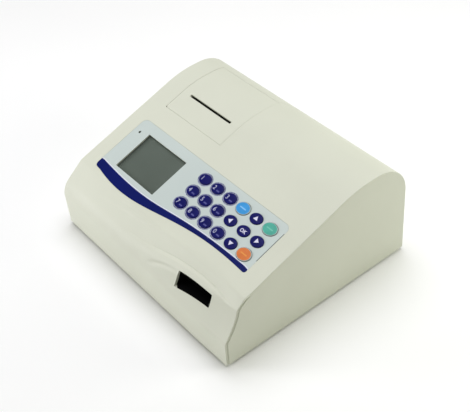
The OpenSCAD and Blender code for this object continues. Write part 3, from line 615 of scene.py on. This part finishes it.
# Lines across the front, as (x, z): the ridge over the mouth, the crease beside it, and the crest
# under the panel; then their heights and depths
RIDGE = [(-45, 48.5), (-31, 50), (-8, 52), (16, 54), (31, 56), (47, 57.7), (62, 58.8), (78, 59.3),
         (94, 59), (110, 57.5)]
CREASE = [(12, 43.6), (17, 45.4), (25, 48.3), (33, 50.8), (44, 52.4), (52, 53.1)]
CREST = [(-75, 58), (-39, 61), (0, 63), (16, 65), (31, 66), (62, 67.4), (97, 67), (119, 66)]
RIDGE_H, VALLEY_D, CREST_H, CREASE_D = 0.45, 1.7, 0.45, 0.8
BROW_SOFT = 2.4
SLOPE_OUT = np.array([-math.sin(SLOPE_A), math.cos(SLOPE_A)])


def ease(x, a, b):
    """Smooth step from 0 at a to 1 at b."""
    u = np.clip((x - a) / (b - a), 0, 1)
    return u * u * (3 - 2 * u)


def hump(z, middle, width):
    return np.exp(-((z - middle) / width) ** 2)


def band_depth(x, z, t):
    """How far back the band round the mouth lies: upright below, hollow above, swung back to the right."""
    u = np.clip((z - 28.8) / 28.5, 0, 1)
    hollow = 2.4 + 14.3 * (1 - (1 - u) ** 1.4)
    foot = np.interp(z, [0, 14.5, 25.8, 28.8], [0.5, 0.9, 1.3, 2.4])
    lean = np.where(z < 28.8, 0.0, 0.7 * (1 - u) ** 0.4)
    swing = 0.088 * 4 * math.log1p(math.exp((113 - x) / 4))
    return np.where(z < 28.8, foot, hollow) - swing + t * np.hypot(1, lean)


def skin_column(x, t):
    """The profile at x with its relief: ridge, valley and crest, and the band that holds the mouth."""
    rows = profile(t)
    y, z = rows[:, 0], rows[:, 1]
    front = (z < 72) & (y < 60)
    ridge_z = np.interp(x, *zip(*RIDGE))
    crest_z = np.interp(x, *zip(*CREST))
    ridge = RIDGE_H * ease(x, -50, 20) * (1 - ease(x, 98, 112))
    valley = VALLEY_D * ease(x, -45, 45) * (1 - ease(x, 104, 124))
    share = (z - ridge_z - 1.6) / (crest_z - ridge_z - 0.6)
    hollow = np.where(share < 0, ease(share, -0.35, 0.02), 1 - ease(share, -0.5, 1.0)) * (share < 1)
    crest = CREST_H * ease(x, -90, -20)
    relief = ridge * hump(z, ridge_z, 1.6) - valley * hollow + crest * hump(z, crest_z, 1.5)
    rows = rows + np.outer(relief * front, SLOPE_OUT)
    y, z = rows[:, 0], rows[:, 1]
    band = band_depth(x, z, t)
    overlap = np.clip(1 - np.abs(y - band) / BROW_SOFT, 0, None)
    cut_back = np.maximum(y, band) + overlap ** 2 * BROW_SOFT / 4
    crease = CREASE_D * ease(x, 12, 22) * (1 - ease(x, 50, 53))
    cut_back = cut_back + crease * hump(z, np.interp(x, *zip(*CREASE)) - 0.8, 1.8)
    return np.column_stack([np.where(front, cut_back, y), z])


def shell(half, wall, fillet, rings):
    """Columns of the skin from the left cap's middle ring to the right cap's: (x, inset, sink)."""
    steps = 4
    edge = [(half - fillet + fillet * math.sin(math.pi / 2 * k / steps),
             fillet * (1 - math.cos(math.pi / 2 * k / steps))) for k in range(steps + 1)]
    inner = list(np.linspace(-(half - fillet), half - fillet, 141))
    columns = [(-half, i, s) for i, s in rings[::-1]]
    columns += [(-x, i, 0) for x, i in edge[::-1]]
    columns += [(x, 0, 0) for x in inner[1:-1]]
    columns += [(x, i, 0) for x, i in edge]
    columns += [(half, i, s) for i, s in rings]
    points = []
    for x, inset, sink in columns:
        rows = skin_column(x, wall + inset)
        fade = np.where(rows[:, 0] < 60, 1 - ease(rows[:, 1], 62.5, 66.5), 0)
        points.append(np.column_stack([x - np.sign(x) * sink * fade, rows]))
    return np.array(points)


def build_housing():
    groove = [(0.4, 0), (0.55, 0.8), (2.8, 0.8), (3.1, 0), (4.8, 0)]
    outer = shell(HALF_W, 0.0, 0.45, groove)
    inner = shell(HALF_W - WALL, WALL, 0.4, [(i, 0) for i, _ in groove])
    nc, nr = outer.shape[:2]
    verts = [case_point(*p) for p in outer.reshape(-1, 3)] + [case_point(*p) for p in inner.reshape(-1, 3)]
    off = nc * nr
    faces = []
    for c in range(nc - 1):
        for r in range(nr - 1):
            a, b, d, e = c * nr + r, (c + 1) * nr + r, (c + 1) * nr + r + 1, c * nr + r + 1
            faces.append((a, b, d, e))
            faces.append((a + off, e + off, d + off, b + off))
    for c, flip in ((0, False), (nc - 1, True)):
        loop = [c * nr + r for r in range(nr)]
        faces.append(loop[::-1] if flip else loop)
        loop = [i + off for i in loop]
        faces.append(loop if flip else loop[::-1])
    ends = [c * nr for c in range(nc)] + [c * nr + nr - 1 for c in range(nc - 1, -1, -1)]
    for a, b in zip(ends, ends[1:] + ends[:1]):
        faces.append((a, a + off, b + off, b))
    o = make("housing_skin", verts, faces, [IVORY], sharp=28)
    face_out(o)
    return o


def bezier(p, t):
    p = np.array(p, float)
    return p[0] * (1 - t) ** 3 + p[1] * 3 * t * (1 - t) ** 2 + p[2] * 3 * t * t * (1 - t) + p[3] * t ** 3


def arc(cx, cy, r, a0, a1, steps=8):
    return [(cx + r * math.cos(math.radians(a0 + (a1 - a0) * k / steps)),
             cy + r * math.sin(math.radians(a0 + (a1 - a0) * k / steps))) for k in range(steps + 1)]


KEYS = [("key_1", 0, 2, "1"), ("key_2", 1, 2, "2"), ("key_3", 2, 2, "3"),
        ("key_blue", 3, 2, "bar"), ("key_up", 4, 2, "up"), ("key_green", 5, 2, "bar"),
        ("key_4", 0, 1, "4"), ("key_5", 1, 1, "5"), ("key_6", 2, 1, "6"),
        ("key_left", 3, 1, "left"), ("key_ok", 4, 1, "OK"), ("key_right", 5, 1, "right"),
        ("key_7", 0, 0, "7"), ("key_8", 1, 0, "8"), ("key_9", 2, 0, "9"),
        ("key_0", 3, 0, "0"), ("key_down", 4, 0, "down"), ("key_orange", 5, 0, "bar")]


def key_at(k):
    return KEY_X0 + KEY_DX * k[1], KEY_S0 + KEY_DY * k[2]


def key_form(k):
    return WIDE_KEY if k[3] == "bar" else KEY_SIZE


def key_loop(k, grow):
    w, d = key_form(k)
    return ellipse(*key_at(k), w + 2 * grow, d + 2 * grow)


LAMP_LOOP = ellipse(*LED_AT, 2 * LED_R + 0.1, 2 * LED_R + 0.1, 24)
LCD_LOOP = [(LCD_MID[0] + i * LCD_VIEW[0] / 2, LCD_MID[1] + j * LCD_VIEW[1] / 2)
            for i, j in ((-1, -1), (1, -1), (1, 1), (-1, 1))]


def wave_points(curve, t0, t1, steps=60):
    return [tuple(bezier(curve, t0 + (t1 - t0) * k / steps)) for k in range(steps + 1)]


def overlay_outline(grow=0.0):
    top = OVERLAY_TOP + grow
    r = OVERLAY_CORNER + grow
    left, right = OVERLAY_L - grow, OVERLAY_R + grow
    low = [(x, s - grow) for x, s in wave_points(WAVE_LOW, 0.032, 0.994)]
    start = [(left, 42.0), (left, 36.6), (left + 0.3, 34.9), (left + 1.1, 33.5 - grow * 0.4),
             (left + 2.3, 32.6 - grow * 0.8), (left + 4.0, 32.1 - grow)]
    end = arc(right - 2.6 - grow, 46.1, 2.6 + grow, -84, 0, 7)
    return start + low + end + arc(right - r, top - r, r, 0, 90) + arc(left + r, top - r, r, 90, 180)


def navy_region():
    """The dark wave along the overlay's lower edge."""
    high = wave_points(WAVE_HIGH, 0.008, 0.985)
    low = wave_points(WAVE_LOW, 0.012, 0.994)
    tip = arc(OVERLAY_R - 2.9, 46.2, 2.9, 35, -84, 8)
    return ([(OVERLAY_L - 1, 41.0), (OVERLAY_L + 0.3, 41.4)] + high + tip
            + [(x, s - 0.6) for x, s in low[::-1]] + [(-106.5, 31.0), (-109.0, 33.0)])


def prism(solid, loop, n0, n1, place=panel_point):
    solid.loft([[(x, y, n0) for x, y in loop], [(x, y, n1) for x, y in loop]], place)


def cover_outline(clear):
    """The cover's region of the side profile, as the CAD draws it, in (y, z)."""
    c, s = math.cos(PANEL_A), math.sin(PANEL_A)
    front = np.array([COVER_S * c, PANEL_Z + COVER_S * s])
    out, along = np.array([-s, c]), np.array([c, s])
    return [tuple(front + out * 12 - along * clear), (HINGE_Y, ROOF + 6), (HINGE_Y, HINGE_Z - 2),
            tuple(front - out * 8 - along * clear)]


def x_prism(solid, loop, x0, x1):
    solid.loft([[(x0, y, z) for y, z in loop], [(x1, y, z) for y, z in loop]], case_point)


def mouth_loop(inset, r):
    """The mouth's outline, whose lower and upper edges climb to the right and arch a little."""
    (x0, x1), (z0, z1) = MOUTH_X, MOUTH_Z
    corners = rounded_rectangle(x0 + inset, z0 + inset, x1 - inset, z1 - inset, r, 4)
    loop = []
    for (xa, za), (xb, zb) in zip(corners, corners[1:] + corners[:1]):
        steps = 14 if abs(xb - xa) > 20 else 1
        loop += [(xa + (xb - xa) * k / steps, za + (zb - za) * k / steps) for k in range(steps)]
    moved = []
    for x, z in loop:
        u, v = (x - x0) / (x1 - x0), (z - z0) / (z1 - z0)
        rise = MOUTH_RISES[0] * (1 - v) + MOUTH_RISES[1] * v
        moved.append((x, z + rise * u + MOUTH_ARCH * 4 * u * (1 - u)))
    return moved


def housing_cutters():
    """Openings of the housing that don't touch each other, and those that overlap them."""
    first, second = Solid(), Solid()
    for loop in [key_loop(k, GAP) for k in KEYS] + [LCD_LOOP, LAMP_LOOP]:
        prism(first, loop, -2 * WALL, 1)
    mouth = mouth_loop(0, 0.9)
    first.loft([[(x, -10, z) for x, z in mouth], [(x, 30, z) for x, z in mouth]], case_point)
    x_prism(first, cover_outline(SEAM), COVER_L - SEAM, COVER_R + SEAM)
    jack = [(JACK_X + x, JACK_Z + z) for x, z in ellipse(0, 0, 10, 10, 40)]
    first.loft([[(x, DEPTH - 5, z) for x, z in jack], [(x, DEPTH + 5, z) for x, z in jack]], case_point)
    for x, z, w, h in ((SERIAL_X, SERIAL_Z, 34, 14), (ROCKER_X, ROCKER_Z, 21.5, 15.5)):
        loop = rounded_rectangle(x - w / 2, z - h / 2, x + w / 2, z + h / 2, 1.0, 4)
        first.loft([[(u, DEPTH - 8, v) for u, v in loop], [(u, DEPTH + 2, v) for u, v in loop]], case_point)
    prism(second, overlay_outline(0.15), -OVERLAY_T - 0.05, 1)
    x_prism(second, [(HINGE_Y + (HEEL_R + SEAM) * math.cos(a), HINGE_Z + (HEEL_R + SEAM) * math.sin(a))
                     for a in np.linspace(0, 2 * math.pi, 72, endpoint=False)],
            COVER_L - SEAM, COVER_R + SEAM)
    pocket = [(LCD_MID[0] + i * 32.4, LCD_MID[1] + j * 24.4) for i, j in ((-1, -1), (1, -1), (1, 1), (-1, 1))]
    prism(second, pocket, -2 * WALL, -1.5)
    return first, second


def finish_housing():
    skin = build_housing()
    for part in housing_cutters():
        cut(skin, part.build("cutter", [IVORY]))
    dress(skin, IVORY, 28)
    skin.modifiers.new("even_normals", "WEIGHTED_NORMAL").keep_sharp = True
    piece(skin, "housing", "housing", "upper_case")


def build_posts():
    """Screw bosses and board posts under the housing, in the housing's plastic."""
    s = Solid()
    for side in (-1, 1):
        for y in (20, 192):
            x = side * 105
            s.lathe([(0.01, 40), (4.2, 40), (4.5, 39.7), (4.5, 2.8), (1.55, 2.8), (1.55, 16), (0.01, 16)],
                    lambda a, b, h, x=x, y=y: case_point(x + a, y + b, h), 40)
            rounded_box(s, (min(x, side * 123), y - 1.2, 2.8), (max(x, side * 123), y + 1.2, 40), 0.3)
    posts = [(LCD_MID[0] + 36 * i, LCD_MID[1] + 32 * j, -7.8) for i in (-1, 1) for j in (-1, 1)]
    posts += [(x, y, -6.2) for x in (-12.5, 104.5) for y in (50, 93)]
    for x, y, n in posts:
        s.lathe([(0.01, -1.4), (2.5, -1.4), (2.5, n + 0.2), (2.3, n), (1.05, n), (1.05, n + 4),
                 (0.01, n + 4)],
                lambda a, b, h, x=x, y=y: panel_point(x + a, y + b, h), 32)
    piece(s.build("housing_posts", [IVORY]), "housing", "housing")


# ---- panel: overlay, keys, display, lamp -------------------------------------------------

def build_overlay():
    holes = [key_loop(k, GAP) for k in KEYS] + [LCD_LOOP, LAMP_LOOP]
    wave = navy_region()
    marks = [([(x, v + BORDER) for x, v in wave], BORDER_PRINT), (wave, NAVY_PRINT)]
    digits = [k for k in KEYS if k[3].isdigit()]
    for grow, marking in ((HALO[1], RING_PRINT), (HALO[0], HALO_PRINT)):
        marks += [(key_loop(k, grow), marking) for k in digits]
    # Painted shadow of the gaps round the wide keys, and of the seam at the film's right edge.
    marks += [(key_loop(k, RIM_LINE), EDGE_SHADOW) for k in KEYS if k[3] == "bar"]
    x0, x1, (s0, s1) = OVERLAY_R - EDGE_LINE, OVERLAY_R + 1, EDGE_SPAN
    marks.append(([(x0, s0), (x1, s0), (x1, s1), (x0, s1)], EDGE_SHADOW))
    o = plate("panel_film", overlay_outline(), holes, -OVERLAY_T - 0.05, -0.05, panel_point,
              [LABEL, NAVY_PRINT, RING_PRINT, BORDER_PRINT, HALO_PRINT, EDGE_SHADOW], marks)
    piece(o, "housing", "overlay", "panel_overlay")


def key_top(u):
    """Height of a key's crown at u, the share of the way from its middle to its edge."""
    return KEY_PROUD - KEY_CROWN * u * u


def glyph_mesh(text, size, x, s, bold=0.0):
    """Outline letters as flat triangles, centred on (x, s)."""
    curve = bpy.data.curves.new("glyph", "FONT")
    curve.body, curve.size = text, size
    curve.align_x, curve.align_y = "CENTER", "CENTER"
    curve.resolution_u = 4
    curve.offset = bold
    o = bpy.data.objects.new("glyph", curve)
    scene.collection.objects.link(o)
    mesh = bpy.data.meshes.new_from_object(o.evaluated_get(bpy.context.evaluated_depsgraph_get()))
    points = [(v.co.x + x, v.co.y + s) for v in mesh.vertices]
    faces = [tuple(f.vertices) for f in mesh.polygons]
    bpy.data.objects.remove(o)
    bpy.data.curves.remove(curve)
    bpy.data.meshes.remove(mesh)
    return points, faces


def one_face(loop):
    return loop, [tuple(range(len(loop)))]


def flat_marks(text):
    """Printed marks of a key, about its middle, and on the coloured keys a painted highlight strip: lists of
    (points, faces). A digit's comes first.
    """
    triangles = {"up": (0, 1), "down": (0, -1), "left": (-1, 0), "right": (1, 0)}
    if text in triangles:
        dx, dy = triangles[text]
        base = [(0, 2.4), (-2.6, -1.6), (2.6, -1.6)]
        return [([(y * dx + x * dy, y * dy - x * dx) for x, y in base], [(0, 1, 2)])]
    if text == "bar":
        # On the coloured keys this strip is a painted highlight.
        return [one_face(rounded_rectangle(-3.9, -0.55, 3.9, 0.55, 0.5, 3))]
    if text == "OK":
        return [glyph_mesh("OK", 4.8, 0.2, -0.5, bold=0.12)]
    marks = [glyph_mesh(text, 6.2, -3.1, -0.5)]
    if text != "1":
        for k in range(3):
            x0 = 0.7 + 1.3 * k
            marks.append(one_face(rounded_rectangle(x0, -2.5, x0 + 0.9, -1.1, 0.2, 2)))
    return marks


def inlay(solid, points, polys, top, place, material=0):
    """A flat mark as a thin closed body let into the surface below it: print, and on the coloured keys a
    painted highlight.
    """
    count = len(points)
    used = {(a, b) for f in polys for a, b in zip(f, f[1:] + f[:1])}
    rim = [(a, b) for a, b in used if (b, a) not in used]
    verts = [place(x, y, top) for x, y in points] + [place(x, y, top - 0.3) for x, y in points]
    faces = [list(f) for f in polys] + [[i + count for i in f[::-1]] for f in polys]
    solid.add(verts, faces + [[b, a, a + count, b + count] for a, b in rim], material)


def build_key(k, material, slot):
    """A key: its skirt under the panel, its crown with a pale rim if it is wide, its pill, and its print,
    which on the coloured keys is a painted highlight strip.
    """
    name, text = k[0], k[3]
    cx, cs = key_at(k)
    w, d = key_form(k)
    steps = 64

    def ring(h, across, along):
        return [(x, y, h) for x, y in ellipse(0, 0, across, along, steps)]

    def place(x, y, n):
        return panel_point(cx + x, cs + y, n)

    s = Solid()
    loft = [ring(h, w + grow, d + grow) for grow, h in ((1.6, -3.9), (1.6, -2.62), (0.0, -2.6))]
    for a in range(0, 91, 15):
        inset = KEY_FILLET * (1 - math.cos(math.radians(a)))
        h = key_top(1 - 2 * inset / w) - KEY_FILLET * (1 - math.sin(math.radians(a)))
        loft.append(ring(h, w - 2 * inset, d - 2 * inset))
    rim = steps * len(loft)
    loft += [ring(key_top(u), w * u, d * u) for u in (0.92, 0.75, 0.6, 0.4, 0.2, 0.04)]
    s.loft(loft, place)
    if text == "bar":
        s.m[:rim] = [1] * rim
    s.lathe([(0.01, -3.8), (2.5, -3.8), (2.5, -4.95), (2.3, -5.1), (0.01, -5.1)], place, 32)
    piece(s.build(name + "_cap", [material, PALE_RIM], 50), name, slot, name)
    marking = Solid()
    for i, (points, polys) in enumerate(flat_marks(text)):
        inlay(marking, points, polys, KEY_PROUD + 0.02, place, min(i, 1))
    # Digits and arrows take print colours; on the coloured keys the marks, and the object named _print, are a
    # painted highlight strip.
    print_and_highlight_colours = [DIGIT_PRINT, SMALL_PRINT] if text.isdigit() else [BAR_HIGHLIGHT.get(slot, MARK_WHITE)]
    piece(marking.build(name + "_print", print_and_highlight_colours), name, "white_plastic")


def build_display():
    """The acrylic window over the display's glass, and the display's face."""
    s = Solid()
    x, y = LCD_MID
    loops = [rounded_rectangle(x - 32.2 + i, y - 24.2 + i, x + 32.2 - i, y + 24.2 - i, 1.0, 4)
             for i in (0.1, 0, 0, 0.1)]
    s.loft([[(a, b, n) for a, b in loop] for loop, n in zip(loops, (-2.5, -2.4, -1.6, -1.5))], panel_point)
    piece(s.build("display_window", [GLASS]), "housing", "window", "lcd_window")
    s = Solid()
    loops = [rounded_rectangle(x - 30.4 + i, y - 22.4 + i, x + 30.4 - i, y + 22.4 - i, 0.4, 3)
             for i in (0, 0, 0.1)]
    s.loft([[(a, b, n) for a, b in loop] for loop, n in zip(loops, (-3.6, -3.0, -2.9))], panel_point)
    piece(s.build("display_glass", [DISPLAY]), "housing", "display")


def build_lamp():
    s = Solid()
    s.lathe([(0.01, -6), (1.6, -6), (1.6, -2.7), (1.5, -2.6), (1.43, -2.6), (1.43, -0.6), (1.3, -0.35),
             (1.0, -0.2), (0.5, -0.12), (0.01, -0.1)],
            lambda x, y, n: panel_point(LED_AT[0] + x, LED_AT[1] + y, n), 28)
    piece(s.build("lamp_dome", [LED]), "housing", "lamp", "status_led")


# ---- printer cover -----------------------------------------------------------------------

def roof_line(t, y0, y1, count):
    """Points of the profile, t below the surface, evenly spread in depth."""
    rows = profile(t)
    rising = rows[: int(np.argmax(rows[:, 0] > HINGE_Y + 12))]
    y = np.linspace(y0, y1, count)
    return np.column_stack([y, np.interp(y, rising[:, 0], rising[:, 1])])


def heel_meets(t, rear):
    """The point (y, z) where the line t below the roof enters or leaves the cover's round heel."""
    line = roof_line(t, HINGE_Y - HEEL_R, HINGE_Y + HEEL_R, 400)
    reach = np.hypot(line[:, 0] - HINGE_Y, line[:, 1] - HINGE_Z) < HEEL_R
    hits = np.flatnonzero(reach)
    return line[hits[-1] if rear else hits[0]]


def cover_section(t, r):
    """Closed outline of the cover in (y, z): skin, round heel about the hinge, and underside."""
    c, s = math.cos(PANEL_A), math.sin(PANEL_A)
    out = heel_meets(t, True)
    back = heel_meets(COVER_T, False)
    lead = []
    for k in range(4):
        a = math.pi / 2 * k / 3
        along, n = COVER_S + r * (1 - math.sin(a)), -t - r * (1 - math.cos(a))
        lead.append((along * c - n * s, PANEL_Z + along * s + n * c))
    a0 = math.atan2(out[1] - HINGE_Z, out[0] - HINGE_Y)
    a1 = math.atan2(back[1] - HINGE_Z, back[0] - HINGE_Y) - 2 * math.pi
    heel = [(HINGE_Y + HEEL_R * math.cos(a), HINGE_Z + HEEL_R * math.sin(a)) for a in np.linspace(a0, a1, 30)]
    foot = (COVER_S * c + COVER_T * s, PANEL_Z + COVER_S * s - COVER_T * c)
    return [*lead[::-1], *map(tuple, roof_line(t, lead[0][0] + 0.6, out[0] - 0.05, 50)), *heel[:-1],
            *map(tuple, roof_line(COVER_T, back[0], foot[0] + 0.3, 20)), foot]


def build_cover():
    fillet = 0.3
    edge = [(fillet * (1 - math.sin(math.pi / 2 * k / 3)), fillet * (1 - math.cos(math.pi / 2 * k / 3)))
            for k in range(4)]
    columns = [(COVER_L + a, b) for a, b in edge[::-1]]
    columns += [(x, 0) for x in np.linspace(COVER_L + fillet, COVER_R - fillet, 30)[1:-1]]
    columns += [(COVER_R - a, b) for a, b in edge]
    s = Solid()
    s.loft([[(x, y, z) for y, z in cover_section(inset, fillet)] for x, inset in columns], case_point)
    cover = s.build("printer_lid", [IVORY], 30)
    knife = Solid()
    mid, w, d = (COVER_L + COVER_R) / 2, SLOT_W / 2, SLOT_D / 2
    slot = rounded_rectangle(mid - w, SLOT_S - d, mid + w, SLOT_S + d, 0.9, 5)
    prism(knife, slot, -8, 4)
    prism(knife, ellipse(COVER_L, COVER_S, 2.6, 2.6, 24), -8, 4)
    cut(cover, knife.build("cutter", [IVORY]))
    dress(cover, IVORY, 30)
    piece(cover, "printer_cover", "housing", "printer_cover")


# ---- mouth, feet and rear connectors -----------------------------------------------------

def build_mouth_shade():
    """Dark sleeve of painted shade in the mouth, clear of the tray. It starts just behind the front, deeper
    at the left.
    """
    def start(x, z):
        bare = BARE_WALL * (1 - float(ease(x, MOUTH_X[0] + 0.5, MOUTH_X[0] + 2)))
        return float(band_depth(x, z, 0)) + (SLEEVE_START + bare)

    s = Solid()
    loops = mouth_loop(0.02, 0.9), mouth_loop(0.3, 0.7)
    mouth = [[(x, start(x, z), z) for x, z in loop] for loop in loops]
    back = [[(x, SLEEVE_END, z) for x, z in loop] for loop in loops]
    s.loft([mouth[0], back[0], back[1], mouth[1], mouth[0]], case_point)
    piece(s.build("mouth_shade_sleeve", [PAINTED_SHADE_BLACK]), "housing", "black_plastic")


def build_feet():
    s = Solid()
    for side in (-1, 1):
        for y in (36, DEPTH - 36):
            s.lathe([(0.01, -2.0), (4.2, -2.0), (4.6, -1.75), (5.0, -1.75), (5.3, -2.0), (6.3, -2.0),
                     (6.8, -1.8), (7.0, -1.3), (7.0, 0.0), (0.01, 0.0)],
                    lambda a, b, h, x=side * 105, y=y: case_point(x + a, y + b, h), 48)
    piece(s.build("feet_discs", [FOOT]), "housing", "feet", "rubber_feet")


def build_rear():
    """Barrel jack, and the insert of the nine-way serial port with its contacts."""
    back = DEPTH - 0.1
    s = Solid()
    rounded_box(s, (JACK_X - 4.6, 192, 10.6), (JACK_X + 4.6, 209.3, 22), 0.3)
    place = lambda a, b, h: case_point(JACK_X + a, h, JACK_Z + b)
    s.lathe([(0.01, 202), (3.2, 202), (3.2, back - 0.4), (3.5, back), (4.4, back), (4.7, back - 0.3),
             (4.7, 203), (0.01, 203)], place, 48)
    s.lathe([(0.01, 203), (1.0, 203), (1.0, 210.6), (0.7, 211), (0.01, 211)], place, 28, material=1)
    piece(s.build("power_jack", [BLACK, SHELL_METAL]), "housing", "black_plastic", "power_inlet")
    s = Solid()
    loop = [(-8.3, 3.9), (8.3, 3.9), (6.9, -3.9), (-6.9, -3.9)]
    s.loft([[(SERIAL_X + x * k, y, SERIAL_Z + z * k) for x, z in loop]
            for k, y in ((0.93, 206.0), (0.93, 210.3), (0.9, 210.5))], case_point)
    for k in range(9):
        x, z = (2.77 * (k - 2), 1.42) if k < 5 else (2.77 * (k - 6.5), -1.42)
        s.lathe([(0.35, 210.2), (0.35, 210.62), (0.75, 210.62), (0.75, 210.2), (0.35, 210.2)],
                lambda a, b, h, x=x, z=z: case_point(SERIAL_X + x + a, h, SERIAL_Z + z + b), 16, material=1)
    piece(s.build("serial_sockets", [BLACK, GOLD]), "housing", "black_plastic")


# ---- carried-over CAD nodes --------------------------------------------------------------

CARRIED = {
    "base_plate": IVORY, "case_screws": STEEL, "lcd_module": FRAME_METAL, "keypad_mat": SILICONE,
    "keypad_board": PAD_BOARD, "main_board": BOARD, "board_screws": STEEL, "cover_hinge_pin": STEEL,
    "paper_bay": INNER, "paper_roll": PAPER, "roll_core": CARD, "roll_spindle": BLACK,
    "printer_frame": FRAME_METAL, "print_head": FRAME_METAL, "platen_roller": PLATEN,
    "platen_shaft": STEEL, "platen_gear": GEAR, "idler_gear": GEAR, "printer_pinion": BRASS,
    "printer_motor": MOTOR, "strip_tray": TRAY_BLACK, "tray_rack": GEAR, "strip_holder": WHITE,
    # The tray guide is black plastic made near-black as painted shade.
    "white_reference": WHITE, "tray_guide": PAINTED_SHADE_BLACK, "drive_pinion": BRASS, "stepper_motor": MOTOR,
    "head_bridge": FRAME_METAL, "optical_head": BLACK, "head_lens": LENS, "position_sensor": BLACK,
    "serial_port": SHELL_METAL, "switch_body": BLACK, "power_rocker": BLACK,
}


# ---- floor, light, camera ----------------------------------------------------------------

# Name, place, diameter, power and colour
LIGHTS = [("key", (-0.68, -0.86, 0.22), 0.4, 5.8, (0.98, 0.98, 1.04)),
          ("top", (-0.2, 0.3, 1.6), 1.6, 22.5, (0.98, 0.98, 1.04)),
          ("side", (0.5, 0.5, 0.3), 0.4, 1.7, (1.0, 1.02, 0.93))]


def build_stage():
    s = Shade("studio_floor", rough=0.9, specular=0.1)
    s.colour(s.ramp(s.noise(3, 2), [(0.3, linear((250, 250, 249))), (0.7, linear((253, 253, 252)))]))
    s.rough(s.noise(5), 0.85, 0.95)
    mesh = bpy.data.meshes.new("floor")
    bm = bmesh.new()
    bmesh.ops.create_grid(bm, x_segments=8, y_segments=8, size=6)
    bm.to_mesh(mesh)
    bm.free()
    mesh.materials.append(s.m)
    floor = bpy.data.objects.new("floor", mesh)
    scene.collection.objects.link(floor)
    world = bpy.data.worlds.new("studio")
    scene.world = world
    world.use_nodes = True
    tree = world.node_tree
    back = tree.nodes.get("Background") or tree.nodes.new("ShaderNodeBackground")
    back.inputs["Color"].default_value = (1.0, 1.0, 0.82, 1)
    back.inputs["Strength"].default_value = 0.2
    for name, place, size, power, tint in LIGHTS:
        light = bpy.data.lights.new(name, "AREA")
        light.shape, light.size, light.energy, light.color = "DISK", size, power, tint
        lamp = bpy.data.objects.new(name, light)
        lamp.location = place
        lamp.rotation_mode = "QUATERNION"
        lamp.rotation_quaternion = (Vector((0, 0, 0.05)) - Vector(place)).to_track_quat("-Z", "Y")
        scene.collection.objects.link(lamp)
    scene.view_settings.view_transform = "Standard"


def build_camera():
    """The camera as fitted to the photograph."""
    cam = bpy.data.cameras.new("camera")
    cam.sensor_fit, cam.sensor_width, cam.lens = "HORIZONTAL", 36.0, 73.573
    cam.clip_start, cam.clip_end = 0.02, 50
    o = bpy.data.objects.new("camera", cam)
    right = Vector((0.6269738, 0.77557635, -0.07338384))
    up = Vector((-0.48498257, 0.4622979, 0.74234261))
    back = Vector((0.60966856, -0.42983948, 0.66598969))
    turn = Matrix((right, up, back)).transposed().to_4x4()
    o.matrix_world = Matrix.Translation((0.55761, -0.38559, 0.64255)) @ turn
    scene.collection.objects.link(o)
    scene.camera = o


build_camera()
build_stage()
finish_housing()
build_posts()
build_overlay()
for key in KEYS:
    kind = {"key_blue": (BLUE_KEY, "blue_key"), "key_green": (GREEN_KEY, "green_key"),
            "key_orange": (ORANGE_KEY, "orange_key")}.get(key[0], (NAVY_KEY, "navy_key"))
    build_key(key, *kind)
build_display()
build_lamp()
build_cover()
build_mouth_shade()
build_feet()
build_rear()
for node, material in CARRIED.items():
    dress(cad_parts[node], material)
